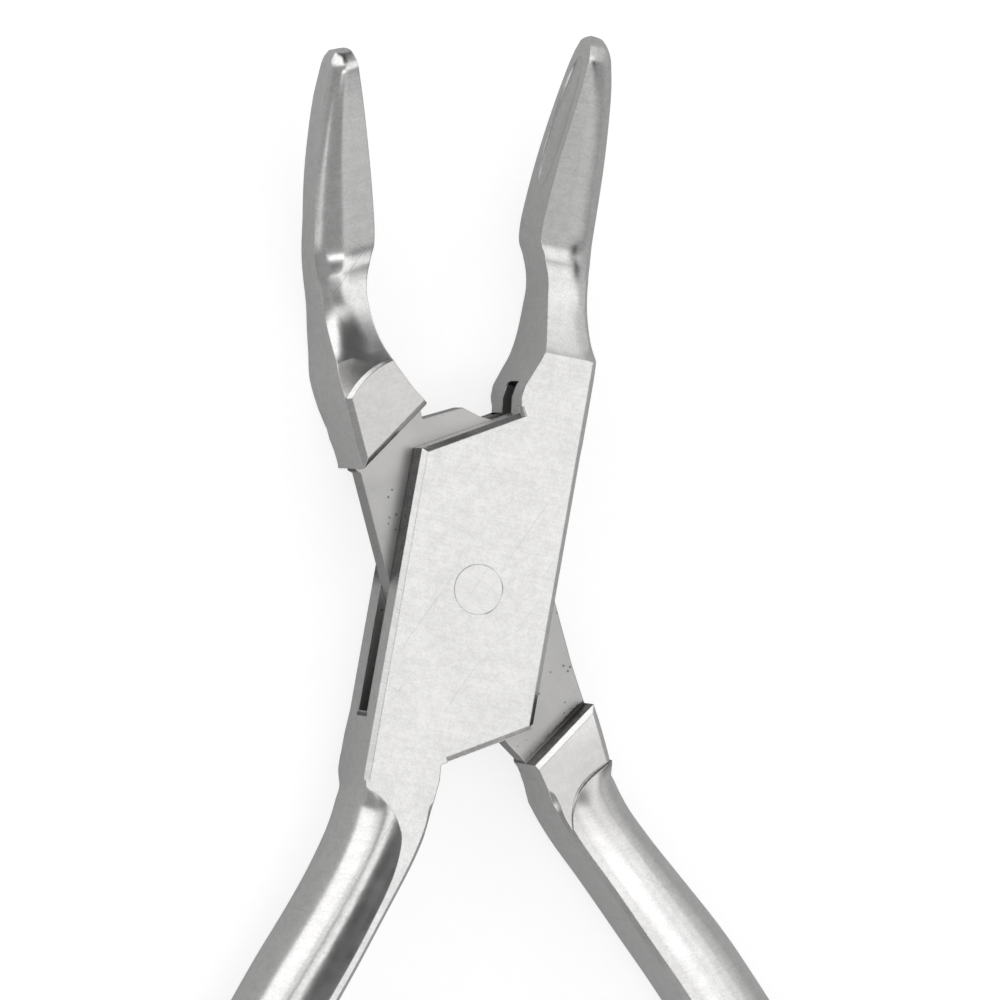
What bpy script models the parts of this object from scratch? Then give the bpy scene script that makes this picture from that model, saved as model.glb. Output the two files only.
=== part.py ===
"""Bone rongeur with a box joint. The instrument lies flat: jaws to +Y, handles to -Y, pivot pin along Z.

Each half is drawn in its own closed frame (pin at the origin, mid-plane at z = 0, millimetres),
then turned to the open rest position and lifted so that the lower flat of the box is at z = 0.
"""

import math

import bmesh
import bpy
from mathutils import Matrix, Vector

MM = 0.001

# sizes in millimetres and degrees
OPEN_ANGLE = 25.6
BOX_THICKNESS = 7.6
BOX_WIDTH = 12.7
BOX_END_DISTANCE = 11.75
END_SLOPE = 29.5
SHOULDER_GAP = 1.25
SLOT_GAP = 2.4
SIDE_CLEARANCE = 0.05
FORGING_THICKNESS = 9.4
PIN_DIAMETER = 3.8
PIN_CLEARANCE = 0.03
PIN_EDGE = 0.06
EDGE_CHAMFER = 0.4

JAW_LENGTH = 43.0
TENON_TIP_TRIM = 0.5
JAW_THICKNESS = 5.4
JAW_RISE = 28.0
SCOOP_RADIUS = 8.0
SCOOP_START = 18.9
SCOOP_END = 26.2
NECK_DROP = 1.0
JAW_ROOT_DEPTH = 5.25
FACET_DROP = 1.15
BACK_FACET_SHARE = 0.45
FACET_WIDTHS_BOX = (
    (17.2, 0.1), (18.3, 0.9), (19.3, 1.2), (22.0, 1.0), (25.5, 1.1), (27.5, 1.65), (43.0, 1.8)
)
FACET_WIDTHS_TENON = (
    (16.3, 0.1), (17.3, 1.3), (18.6, 2.6), (21.0, 2.2), (25.0, 1.6), (28.0, 2.1), (43.0, 0.85)
)
CUP_LENGTH = 11.5
CUP_HEIGHT = 3.7
CUP_DEPTH = 0.95
CUP_FROM_TIP = 1.3

HANDLE_WIDTH = 6.1
HANDLE_HEIGHT = 8.9
HANDLE_FACE = 6.3
HANDLE_LENGTH = 105.0
TENON_HANDLE_SHIFT = 1.4
TENON_ROOT_SHIFT = 1.9
TENON_NECK_SLIM = 0.55
ROOT_RELIEF = 0.85

SPRING_FOOT = 72.0
SPRING_LENGTH = 37.0
SPRING_THICKNESS = 0.8
SPRING_WIDTH = 5.0
SPRING_TIP_WIDTH = 4.0
SPRING_PAD = 9.0
TONGUE_WIDTH = 1.7
WINDOW_CLEARANCE = 0.3
WINDOW_PLAY = 4.6
SCREW_HEAD = 4.4
SCREW_HEAD_HEIGHT = 1.2
SCREW_SHANK = 2.2
SCREW_LENGTH = 3.4
SCREW_CLEARANCE = 0.05
SEAT_GAP = 0.25

HALF_BOX = BOX_THICKNESS / 2
HALF_OPEN = OPEN_ANGLE / 2
SLOPE = math.tan(math.radians(END_SLOPE))
HALF_WIDTH = BOX_WIDTH / 2
SLOT_FLOOR = BOX_END_DISTANCE * 0.984
STEPS = 48


def clear_scene():
    for item in list(bpy.data.objects):
        bpy.data.objects.remove(item, do_unlink=True)


def new_collection(name):
    group = bpy.data.collections.new(name)
    bpy.context.scene.collection.children.link(group)
    return group


clear_scene()
PARTS = new_collection("bone_rongeur")
CUTTERS = new_collection("cutters")
CUTTERS.hide_render = True


def steel(name, colour, roughness):
    material = bpy.data.materials.new(name)
    material.use_nodes = True
    shader = material.node_tree.nodes["Principled BSDF"]
    shader.inputs["Base Color"].default_value = (*colour, 1.0)
    shader.inputs["Metallic"].default_value = 1.0
    shader.inputs["Roughness"].default_value = roughness
    return material


def add_mesh(name, mesh, group):
    item = bpy.data.objects.new(name, mesh)
    group.objects.link(item)
    if group == CUTTERS:
        item.display_type = "WIRE"
        item.hide_render = True
    return item


def cubic(points, at):
    """Smooth line through (position, value) points, read at one position."""
    last = len(points) - 1
    if at <= points[0][0]:
        return points[0][1]
    if at >= points[last][0]:
        return points[last][1]
    index = 0
    while points[index + 1][0] < at:
        index += 1

    def slope_at(k):
        low = max(k - 1, 0)
        high = min(k + 1, last)
        return (points[high][1] - points[low][1]) / (points[high][0] - points[low][0])

    x0, y0 = points[index]
    x1, y1 = points[index + 1]
    span = x1 - x0
    t = (at - x0) / span
    m0 = slope_at(index) * span
    m1 = slope_at(index + 1) * span
    a = 2 * y0 - 2 * y1 + m0 + m1
    b = -3 * y0 + 3 * y1 - 2 * m0 - m1
    return ((a * t + b) * t + m0) * t + y0


def spread(low, high, count):
    return [low + (high - low) * k / (count - 1) for k in range(count)]


def plate(name, outline, low, high, matrix=Matrix.Identity(4), group=None):
    """Closed outline in its own XY plane, made solid from low to high along its Z."""
    curve = bpy.data.curves.new(name, "CURVE")
    curve.dimensions = "2D"
    curve.fill_mode = "BOTH"
    curve.extrude = (high - low) / 2
    spline = curve.splines.new("POLY")
    spline.points.add(len(outline) - 1)
    for point, (x, y) in zip(spline.points, outline):
        point.co = (x, y, 0.0, 1.0)
    spline.use_cyclic_u = True
    holder = bpy.data.objects.new(name + "_outline", curve)
    PARTS.objects.link(holder)
    bpy.context.view_layer.update()
    evaluated = holder.evaluated_get(bpy.context.evaluated_depsgraph_get())
    mesh = bpy.data.meshes.new_from_object(evaluated)
    bpy.data.objects.remove(holder, do_unlink=True)
    mesh.transform(matrix @ Matrix.Translation((0, 0, (low + high) / 2)))
    tidy(mesh)
    return add_mesh(name, mesh, group or CUTTERS)


def tidy(mesh):
    work = bmesh.new()
    work.from_mesh(mesh)
    bmesh.ops.remove_doubles(work, verts=work.verts, dist=0.002)
    bmesh.ops.dissolve_limit(work, angle_limit=math.radians(0.05), verts=work.verts, edges=work.edges)
    bmesh.ops.recalc_face_normals(work, faces=work.faces)
    work.to_mesh(mesh)
    work.free()


def loft(name, rings, group=None):
    """Solid skin through closed rings that have the same number of points, with flat ends."""
    work = bmesh.new()
    rows = [[work.verts.new(point) for point in ring] for ring in rings]
    count = len(rings[0])
    for low, high in zip(rows, rows[1:]):
        for k in range(count):
            work.faces.new((low[k], low[(k + 1) % count], high[(k + 1) % count], high[k]))
    work.faces.new(rows[0])
    work.faces.new(rows[-1])
    bmesh.ops.recalc_face_normals(work, faces=work.faces)
    mesh = bpy.data.meshes.new(name)
    work.to_mesh(mesh)
    work.free()
    return add_mesh(name, mesh, group or CUTTERS)


def combine(target, tool, operation):
    modifier = target.modifiers.new(operation.lower(), "BOOLEAN")
    modifier.operation = operation
    modifier.solver = "EXACT"
    modifier.object = tool
    bpy.context.view_layer.update()
    evaluated = target.evaluated_get(bpy.context.evaluated_depsgraph_get())
    mesh = bpy.data.meshes.new_from_object(evaluated)
    target.modifiers.clear()
    target.data = mesh
    tidy(target.data)
    tool.hide_render = True
    return target


def cylinder(name, radius, low, high, matrix, segments=STEPS):
    work = bmesh.new()
    bmesh.ops.create_cone(
        work, cap_ends=True, segments=segments, radius1=radius, radius2=radius, depth=high - low
    )
    bmesh.ops.translate(work, verts=work.verts, vec=(0, 0, (low + high) / 2))
    mesh = bpy.data.meshes.new(name)
    work.to_mesh(mesh)
    work.free()
    mesh.transform(matrix)
    return add_mesh(name, mesh, CUTTERS)


# lines of the jaw, shared by both halves, for a jaw that lies at +X
def inner_edge(y):
    """Inner face of the jaw: closed from the tip, open at the heel, hollow at the root."""
    heel = JAW_LENGTH * 0.645
    points = (
        (13.6, 0.9),
        (15.4, 0.7),
        (17.2, 1.35),
        (18.9, 2.0),
        (21.0, 2.25),
        (23.7, 2.1),
        (25.2, 1.75),
        (26.6, 1.15),
        (heel, 0.58),
        (30.7, 0.27),
        (35.0, 0.1),
        (JAW_LENGTH + 1.0, 0.06),
    )
    return cubic(points, y)


def outer_edge(y):
    points = (
        (15.0, HALF_WIDTH + 0.05),
        (18.5, HALF_WIDTH - 0.02),
        (20.7, 5.95),
        (23.7, 5.55),
        (27.0, 5.28),
        (JAW_LENGTH - 12.4, 4.75),
        (JAW_LENGTH - 9.4, 4.25),
        (JAW_LENGTH - 6.5, 3.62),
        (JAW_LENGTH - 3.4, 2.82),
        (JAW_LENGTH - 1.5, 2.15),
        (JAW_LENGTH + 0.6, 1.4),
    )
    return cubic(points, y)


def jaw_middle(y):
    """Height of the middle of the jaw: it drops at the neck, then rises towards the tip."""
    rise = math.tan(math.radians(JAW_RISE))
    points = (
        (18.0, 0.0),
        (22.0, -0.6),
        (25.0, -NECK_DROP),
        (28.0, -0.85),
        (31.0, 0.35),
        (35.0, 0.35 + 4.0 * rise * 0.87),
        (39.0, 0.35 + 8.0 * rise * 0.94),
        (JAW_LENGTH + 2.0, 0.35 + (JAW_LENGTH - 29.0) * rise),
    )
    return cubic(points, y)


def jaw_slope(y):
    return math.atan2(jaw_middle(y + 0.1) - jaw_middle(y - 0.1), 0.2)


def jaw_thickness(y):
    points = (
        (24.0, JAW_THICKNESS),
        (JAW_LENGTH - 8.9, JAW_THICKNESS),
        (JAW_LENGTH - 3.4, JAW_THICKNESS * 0.9),
        (JAW_LENGTH + 1.0, JAW_THICKNESS * 0.64),
    )
    return cubic(points, y)


def offset_point(y, side):
    """Point of the front (+1) or back (-1) line of the jaw, square to its middle line."""
    angle = jaw_slope(y)
    half = jaw_thickness(y) / 2 * side
    return (y - half * math.sin(angle), jaw_middle(y) + half * math.cos(angle))


def back_line(y):
    """Height of the back of the jaw root, which is thicker than the box."""
    top = FORGING_THICKNESS / 2
    swell = JAW_ROOT_DEPTH - top
    points = (
        (14.6, -top),
        (16.4, -top - swell * 0.5),
        (18.6, -top - swell),
        (20.6, -top - swell * 0.85),
        (22.6, -top - swell * 0.25),
        (24.0, -HALF_BOX - 0.5),
        (25.4, offset_point(25.4, -1)[1] - 0.2),
        (27.0, offset_point(27.0, -1)[1]),
    )
    return cubic(points, y)


def scoop_centre():
    """Centre of the round hollow between the box and the jaw front, in Y and Z."""
    end_z = offset_point(SCOOP_END + 0.2, 1)[1]
    chord = Vector((SCOOP_END - SCOOP_START, end_z - HALF_BOX))
    reach = math.sqrt(SCOOP_RADIUS**2 - (chord.length / 2) ** 2)
    normal = Vector((-chord.y, chord.x)).normalized()
    middle = Vector((SCOOP_START, HALF_BOX)) + chord / 2
    return middle + normal * reach


def side_profile():
    """Outline of the box and jaw seen from the side, as (y, z) points."""
    top = FORGING_THICKNESS / 2
    centre = scoop_centre()
    points = [(-24.0, -top), (-24.0, top)]
    first = math.atan2(top - centre.y, -math.sqrt(SCOOP_RADIUS**2 - (centre.y - top) ** 2))
    last = math.atan2(offset_point(SCOOP_END + 0.2, 1)[1] - centre.y, SCOOP_END - centre.x)
    first = first if first < 0 else first - 2 * math.pi
    for angle in spread(first, last, 14):
        around = Vector((math.cos(angle), math.sin(angle)))
        points.append(tuple(centre + SCOOP_RADIUS * around))
    tip = JAW_LENGTH - 1.0
    for y in spread(SCOOP_END + 1.2, tip - 0.6, 12):
        front = offset_point(y, 1)
        if front[0] > SCOOP_END + 0.3:
            points.append(front)
    angle = jaw_slope(tip)
    half = jaw_thickness(tip) / 2
    along = Vector((math.cos(angle), math.sin(angle)))
    across = Vector((-math.sin(angle), math.cos(angle)))
    middle = Vector((tip, jaw_middle(tip)))
    for reach, rise in ((0.3, 0.95), (0.85, 0.72), (1.15, 0.35), (1.2, -0.1), (1.05, -0.55), (0.6, -0.86)):
        points.append(tuple(middle + along * reach + across * half * rise))
    for y in spread(tip - 0.4, 27.2, 12):
        points.append(offset_point(y, -1))
    for y in spread(26.2, 14.6, 11):
        points.append((y, back_line(y)))
    return points


def jaw_outline(trim):
    """Plan outline of the jaw from its inner root round the tip to its outer root."""
    end = JAW_LENGTH - trim
    points = [(inner_edge(y), y) for y in spread(16.2, end - 0.7, 30)]
    tip = outer_edge(JAW_LENGTH)
    points += [(0.16, end + 0.1), (0.5, end + 0.42), (tip * 0.55, end + 0.5), (tip * 0.86, end + 0.2)]
    points += [(outer_edge(y), y) for y in spread(end - 0.5, 15.0, 22)]
    return points


def handle_root(tenon):
    """Plan outline of the block where it runs into the handle, inside the milled area."""
    if tenon:
        points = [(-1.25, -15.6), (-1.55, -17.5), (-1.9, -18.6), (-2.6, -18.4), (-3.6, -17.4)]
        return points + [(-5.0, -16.4), (-6.6, -15.4), (-6.95, -14.8), (-6.9, -12.5)]
    points = [(-0.4, -15.0), (-0.6, -17.0), (-0.95, -18.9), (-2.4, -18.9)]
    return points + [(-3.2, -17.9), (-4.4, -16.9), (-5.9, -15.9)]


def box_outline():
    end = BOX_END_DISTANCE / math.cos(math.radians(END_SLOPE))
    root = inner_edge(13.6)
    points = [(-HALF_WIDTH, end - SLOPE * HALF_WIDTH), (root, end + SLOPE * root), (0.75, 15.2)]
    points += jaw_outline(0.0)
    points += [(HALF_WIDTH, -end + SLOPE * HALF_WIDTH), (-0.5, -end - SLOPE * 0.5)]
    return points + handle_root(False) + [(-HALF_WIDTH, -15.2)]


def shoulder_end():
    return (BOX_END_DISTANCE + SHOULDER_GAP) / math.cos(math.radians(END_SLOPE))


def tenon_outline():
    floor = SLOT_FLOOR
    points = [(-HALF_WIDTH - 0.2, 13.2), (-HALF_WIDTH + 0.3, 13.65)]
    points += [(0.15, 13.65), (0.15, 14.7), (0.42, 15.3)]
    points += jaw_outline(TENON_TIP_TRIM)
    points += [(HALF_WIDTH, 11.2), (HALF_WIDTH - 0.3, 10.9), (HALF_WIDTH - 0.3, -floor + 1.62)]
    points += [(0.7, -floor + 0.62), (0.0, -12.6), (-0.8, -14.0), (-1.1, -14.8)]
    return points + handle_root(True) + [(-HALF_WIDTH - 0.25, -9.0), (-HALF_WIDTH - 0.15, -2.0)]


def handle_line(y, tenon):
    """Middle of the handle at one height, for a handle that lies at -X."""
    low = HANDLE_LENGTH - 33.0
    points = (
        (-33.0 - low, -16.4),
        (-33.0 - low * 0.89, -17.4),
        (-33.0 - low * 0.76, -18.3),
        (-33.0 - low * 0.62, -18.6),
        (-33.0 - low * 0.49, -18.0),
        (-33.0 - low * 0.35, -16.4),
        (-33.0 - low * 0.21, -13.9),
        (-33.0 - low * 0.1, -11.15),
        (-33.0, -8.58),
        (-28.0, -6.67),
        (-23.5, -5.1),
        (-20.0, -4.1),
        (-17.0, -3.7),
        (-12.0, -3.75),
    )
    value = cubic(points, y)
    if tenon:
        shifts = (
            (-60.0, TENON_HANDLE_SHIFT),
            (-34.0, TENON_ROOT_SHIFT),
            (-24.0, TENON_ROOT_SHIFT * 0.88),
            (-15.0, TENON_ROOT_SHIFT / 2),
        )
        value -= cubic(shifts, y)
        value += cubic(((-34.0, 0.0), (-27.0, 0.1), (-21.0, TENON_NECK_SLIM / 2)), y)
    return value


def handle_width(y, tenon):
    shares = (
        (-HANDLE_LENGTH, 1.0), (-75.0, 1.1), (-45.0, 1.05), (-32.0, 1.035), (-24.0, 0.99), (-14.0, 1.12)
    )
    slim = cubic(((-34.0, 0.0), (-27.0, 0.2), (-21.0, TENON_NECK_SLIM), (-14.0, TENON_NECK_SLIM)), y)
    return HANDLE_WIDTH * cubic(shares, y) - (slim if tenon else 0.0)


def handle_height(y):
    shares = ((-HANDLE_LENGTH, 0.82), (-75.0, 0.94), (-45.0, 0.97), (-24.0, 1.0))
    return HANDLE_HEIGHT * cubic(shares, y)


def handle_section(width, height, face):
    """Half-round handle section: flat on the inner side (+), domed on the outer side."""
    upper = (
        (0.5, face / height * 0.5),
        (0.44, face / height * 0.5 + 0.07),
        (0.31, 0.455),
        (0.12, 0.495),
        (-0.08, 0.482),
        (-0.25, 0.425),
        (-0.38, 0.325),
        (-0.465, 0.19),
        (-0.495, 0.07),
    )
    points = [(u * width, v * height) for u, v in upper]
    return points + [(u, -v) for u, v in reversed(points)]


def handle_rings(tenon):
    rings = []
    stations = [(-13.3, 0.62), (-13.8, 0.82), (-14.6, 0.95), (-15.6, 1.0)]
    stations += [(y, 1.0) for y in spread(-17.0, -HANDLE_LENGTH + 3.0, 40)]
    stations += [(-HANDLE_LENGTH + k, s) for k, s in ((1.8, 0.97), (0.8, 0.84), (0.2, 0.6), (0.0, 0.3))]
    for y, scale in stations:
        width = handle_width(y, tenon)
        height = handle_height(y)
        step = 0.5
        sideways = handle_line(y - step, tenon) - handle_line(y + step, tenon)
        direction = Vector((sideways, -2 * step)).normalized()
        across = Vector((-direction.y, direction.x))
        centre = Vector((handle_line(y, tenon), y))
        ring = []
        for u, v in handle_section(width * scale, height * scale, HANDLE_FACE * scale):
            spot = centre + across * u
            ring.append((spot.x, spot.y, v))
        rings.append(ring)
    return rings


def flats_outline(tenon, back=False):
    """Area where a face of the forging is milled down to the box thickness."""
    reach = 14.6 if back else 19.6
    points = [(-9.0, reach), (9.0, reach), (9.0, -26.0 if not tenon else -15.0)]
    if tenon:
        points += [(2.0, -27.4), (-3.9, -26.2), (-3.45, -24.1), (-2.76, -22.25), (-2.5, -20.8), (-2.6, -19.5)]
        return points + [(-2.92, -18.5), (-3.66, -17.35), (-4.92, -16.43), (-6.6, -15.75), (-9.0, -14.8)]
    points += [(-4.0, -40.5), (-8.6, -40.5), (-7.9, -37.6), (-6.8, -34.7), (-5.8, -32.1), (-5.0, -30.0)]
    points += [(-4.3, -28.0), (-3.55, -25.64), (-3.12, -24.2), (-2.75, -22.55), (-2.62, -21.05)]
    points += [(-2.68, -19.9), (-3.01, -19.06), (-3.84, -17.91)]
    if back:
        return points + [(-5.0, -16.0), (-6.3, -14.3), (-9.0, -12.4)]
    return points + [(-5.08, -16.88), (-6.14, -16.43), (-6.65, -15.8), (-9.0, -15.6)]


def facet_rings(front, tenon):
    """Wedge that takes the long bevel off the outer edge of the jaw, front or back."""
    widths = FACET_WIDTHS_TENON if tenon else FACET_WIDTHS_BOX
    drops = (
        (widths[0][0], 0.02),
        (widths[2][0], FACET_DROP * 0.35),
        (25.0, FACET_DROP * 0.85),
        (28.0, FACET_DROP),
        (38.0, FACET_DROP),
        (JAW_LENGTH, FACET_DROP * 0.75),
    )
    rings = []
    for y in spread(widths[0][0], JAW_LENGTH + 1.6, 26):
        width = cubic(widths, y)
        drop = cubic(drops, y)
        if front < 0:
            drop *= cubic(((26.0, BACK_FACET_SHARE), (31.0, 1.0)), y)
        angle = jaw_slope(y) if y > (24 if front > 0 else 26.9) else 0.0
        half = jaw_thickness(y) / 2
        centre = scoop_centre()
        if front > 0 and y < SCOOP_END + 0.2:
            depth = centre.y - math.sqrt(max(SCOOP_RADIUS**2 - (y - centre.x) ** 2, 1.0))
            base = (y, min(depth, HALF_BOX))
        elif y < 26.9:
            base = (y, back_line(y))
        else:
            base = (y - half * front * math.sin(angle), jaw_middle(y) + half * front * math.cos(angle))
        outer = outer_edge(base[0])
        crease = outer - width
        tilt = drop / width
        corners = ((crease - 0.5, 0.5 * tilt), (outer + 1.0, -drop - tilt))
        corners += ((outer + 1.0, 3.0), (crease - 0.5, 3.0))
        ring = []
        for x, rise in corners:
            lean = rise * front
            ring.append((x, base[0] - lean * math.sin(angle), base[1] + lean * math.cos(angle)))
        rings.append(ring)
    return rings


def cup_matrix():
    """Place of the spoon-shaped hollow in the inner face, along the rising jaw."""
    middle = JAW_LENGTH - CUP_FROM_TIP - CUP_LENGTH / 2 * math.cos(math.radians(JAW_RISE))
    angle = jaw_slope(middle)
    turn = Matrix.Rotation(angle, 4, "X")
    size = Matrix.Diagonal((CUP_DEPTH, CUP_LENGTH / 2, CUP_HEIGHT / 2, 1.0))
    return Matrix.Translation((inner_edge(middle), middle, jaw_middle(middle))) @ turn @ size


def chamfer_flats(item, amount):
    """Small bevel along the outer edges of both milled flats."""
    work = bmesh.new()
    work.from_mesh(item.data)
    chosen = []
    for edge in work.edges:
        if len(edge.link_faces) != 2 or not edge.is_convex:
            continue
        ends = [vert.co for vert in edge.verts]
        if any(abs(abs(co.z) - HALF_BOX) > 0.01 for co in ends):
            continue
        if any(co.y < -19.5 for co in ends):
            continue
        if any(co.y > (SCOOP_START - 0.3 if co.z > 0 else 15.0) for co in ends):
            continue
        if any(co.xy.length < PIN_DIAMETER for co in ends):
            continue
        if sum(abs(face.normal.z) < 0.2 for face in edge.link_faces) == 1:
            chosen.append(edge)
    bmesh.ops.bevel(
        work, geom=chosen, offset=amount, offset_type="OFFSET", segments=1, profile=0.5, affect="EDGES",
        clamp_overlap=True, material=-1
    )
    bmesh.ops.recalc_face_normals(work, faces=work.faces)
    work.to_mesh(item.data)
    work.free()


def forging(name, tenon):
    """One half before its joint is cut: block, jaw, scoop, handle and milled flats."""
    top = FORGING_THICKNESS / 2
    outline = tenon_outline() if tenon else box_outline()
    body = plate(name, outline, -JAW_ROOT_DEPTH - 1.0, 14.0, group=PARTS)
    side = Matrix(((0, 0, 1, 0), (1, 0, 0, 0), (0, 1, 0, 0), (0, 0, 0, 1)))
    combine(body, plate(name + "_profile", side_profile(), -12.0, 12.0, side), "INTERSECT")
    combine(body, loft(name + "_handle", handle_rings(tenon)), "UNION")
    combine(body, plate(name + "_flat_front", flats_outline(tenon), HALF_BOX, 16.0), "DIFFERENCE")
    combine(body, plate(name + "_flat_back", flats_outline(tenon, True), -8.0, -HALF_BOX), "DIFFERENCE")
    combine(body, loft(name + "_facet_front", facet_rings(1, tenon)), "DIFFERENCE")
    combine(body, loft(name + "_facet_back", facet_rings(-1, tenon)), "DIFFERENCE")
    return body


def relief_rings():
    """Wedge off the inner back edge of the tenon half's handle root, where the closing box end passes."""
    rings = []
    for y in spread(-12.0, -18.6, 6):
        depth = ROOT_RELIEF * cubic(((-18.5, 0.0), (-16.5, 0.5), (-14.4, 1.0)), y)
        inner = cubic(((-18.6, -1.75), (-15.6, -1.25), (-14.8, -1.1), (-12.6, 0.0)), y)
        edge = inner - depth
        rings.append([(edge, y, -6.0), (edge, y, -HALF_BOX), (inner + 0.4, y, -0.9), (inner + 4.0, y, -6.0)])
    return rings


def cut_cup(body):
    work = bmesh.new()
    bmesh.ops.create_uvsphere(work, u_segments=20, v_segments=14, radius=1.0)
    mesh = bpy.data.meshes.new(body.name + "_cup")
    work.to_mesh(mesh)
    work.free()
    mesh.transform(cup_matrix())
    combine(body, add_mesh(body.name + "_cup", mesh, CUTTERS), "DIFFERENCE")


def slot_outline():
    """Slot through the box half: open at both sides, the near end and the jaw root."""
    floor = SLOT_FLOOR
    points = [(-9.0, -floor + 1.5), (-6.6, -floor + 1.0), (-5.6, -floor + 0.52), (-1.1, -floor)]
    points += [(-0.5, -15.6), (-0.5, -22.0), (9.0, -22.0), (9.0, 13.8), (7.0, 14.3)]
    points += [(0.7, 16.7), (-2.0, 17.4), (-9.0, 17.4)]
    return points


def cheek_outline():
    """Area cleared on both faces of the tenon half for the walls of the box half."""
    end = shoulder_end()
    wide = 11.0
    points = [(wide, end - SLOPE * wide), (0.1, end - SLOPE * 0.1), (-0.9, end + 6.0), (-wide, end + 6.0)]
    points += [(-wide, -end + SLOPE * wide), (-0.8, -end + SLOPE * 0.8)]
    points += [(0.3, -end - 6.0), (wide, -end - 6.0)]
    return points


def place(item, turn):
    item.data.transform(Matrix.Scale(MM, 4))
    item.data.transform(Matrix.Rotation(math.radians(turn), 4, "Z"))
    item.data.transform(Matrix.Translation((0, 0, HALF_BOX * MM)))
    item.data.update()


def smooth(item, angle=28.0):
    item.data.shade_smooth()
    item.data.set_sharp_from_angle(angle=math.radians(angle))


def mirrored(item):
    item.data.transform(Matrix.Diagonal((-1.0, 1.0, 1.0, 1.0)))
    work = bmesh.new()
    work.from_mesh(item.data)
    bmesh.ops.recalc_face_normals(work, faces=work.faces)
    work.to_mesh(item.data)
    work.free()


def turned(point, tenon):
    """Point of a half's drawing, in the open rest position, in millimetres."""
    x, y, z = point
    angle = math.radians(HALF_OPEN if tenon else -HALF_OPEN)
    spot = Vector((-x if tenon else x, y, z))
    return Matrix.Rotation(angle, 3, "Z") @ spot


def spring_seat(tenon):
    """Seat of a leaf spring on a handle: point on the inner face, way up the handle, way out of the face."""
    y = -SPRING_FOOT
    step = 0.5
    up = Vector((handle_line(y + step, tenon) - handle_line(y - step, tenon), 2 * step, 0)).normalized()
    out = Vector((up.y, -up.x, 0))
    centre = Vector((handle_line(y, tenon), y, 0)) + out * handle_width(y, tenon) / 2
    return turned(centre, tenon), turned(up, tenon), turned(out, tenon)


def spring_lift(tenon):
    """Point where the leaf leaves its pad, which is also the axis it bends about."""
    seat, up, out = spring_seat(tenon)
    return seat + up * SPRING_PAD * 0.3 + out * (SEAT_GAP + SPRING_THICKNESS / 2)


def spring_meeting():
    """Point between the handles where the two leaves cross."""
    left = spring_lift(False)
    right = spring_lift(True)
    middle = (left + right) / 2
    half = (right - left).length / 2
    upward = Vector((-(right - left).y, (right - left).x, 0)).normalized()
    return middle + upward * math.sqrt(SPRING_LENGTH**2 - half**2)


def spring_line(tenon):
    """Middle line of a leaf: pad on the handle, bow, and straight end past the meeting point."""
    seat, up, out = spring_seat(tenon)
    lift = spring_lift(tenon)
    meeting = spring_meeting()
    base = seat + out * (SEAT_GAP + SPRING_THICKNESS / 2)
    points = [base - up * SPRING_PAD / 2, base - up * SPRING_PAD * 0.15]
    aim = (meeting - (lift + up * 7.0)).normalized()
    one = lift + up * 8.0
    two = meeting - aim * 16.0
    for t in spread(0.0, 1.0, 15):
        s = 1 - t
        points.append(lift * s**3 + one * 3 * s * s * t + two * 3 * s * t * t + meeting * t**3)
    points.append(meeting + aim * 2.4)
    points.append(meeting + aim * 2.5)
    points.append(meeting + aim * 3.7)
    return points


def make_spring(name, tenon):
    """Leaf spring of tapered strip: one ends in a window, the other in a tongue with a cross head."""
    line = spring_line(tenon)
    last = len(line) - 1
    half_tip = SPRING_TIP_WIDTH / 2
    rings = []
    for k, spot in enumerate(line):
        ahead = line[min(k + 1, last)] - line[max(k - 1, 0)]
        across = Vector((-ahead.y, ahead.x, 0)).normalized() * SPRING_THICKNESS / 2
        share = k / last
        half = (SPRING_WIDTH * (1 - share) + SPRING_TIP_WIDTH * share) / 2
        if tenon and last - 6 <= k < last - 1:
            half = TONGUE_WIDTH / 2
        if tenon and k >= last - 1:
            half = half_tip
        low = HALF_BOX - half
        high = HALF_BOX + half
        a = spot + across
        b = spot - across
        rings.append([(a.x, a.y, low), (a.x, a.y, high), (b.x, b.y, high), (b.x, b.y, low)])
    body = loft(name, rings, PARTS)
    seat, up, out = spring_seat(tenon)
    hole = cylinder(name + "_hole", SCREW_SHANK / 2 + 0.2, -3.0, 3.0, screw_frame(tenon), 24)
    combine(body, hole, "DIFFERENCE")
    if not tenon:
        meeting = spring_meeting()
        aim = (line[-1] - line[-4]).normalized()
        turn = Matrix.Rotation(math.atan2(aim.y, aim.x), 4, "Z")
        other = spring_line(True)
        crossing = aim.angle(other[-1] - other[-4])
        slant = SPRING_THICKNESS * (1 + abs(math.cos(crossing))) / math.sin(crossing)
        size = (slant + WINDOW_PLAY, 3.0, TONGUE_WIDTH + 2 * WINDOW_CLEARANCE)
        spot = meeting - aim * 0.4
        window = box(name + "_window", size, Matrix.Translation((spot.x, spot.y, HALF_BOX)) @ turn)
        combine(body, window, "DIFFERENCE")
    return body


def box(name, size, matrix):
    work = bmesh.new()
    bmesh.ops.create_cube(work, size=1.0)
    mesh = bpy.data.meshes.new(name)
    work.to_mesh(mesh)
    work.free()
    mesh.transform(matrix @ Matrix.Diagonal((*size, 1.0)))
    return add_mesh(name, mesh, CUTTERS)


def screw_frame(tenon):
    """Frame of a spring screw: origin on the handle face, Z out of the face."""
    seat, up, out = spring_seat(tenon)
    side = up.cross(out)
    turn = Matrix((up, side * -1, out)).transposed().to_4x4()
    return Matrix.Translation((seat.x, seat.y, HALF_BOX)) @ turn


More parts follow.
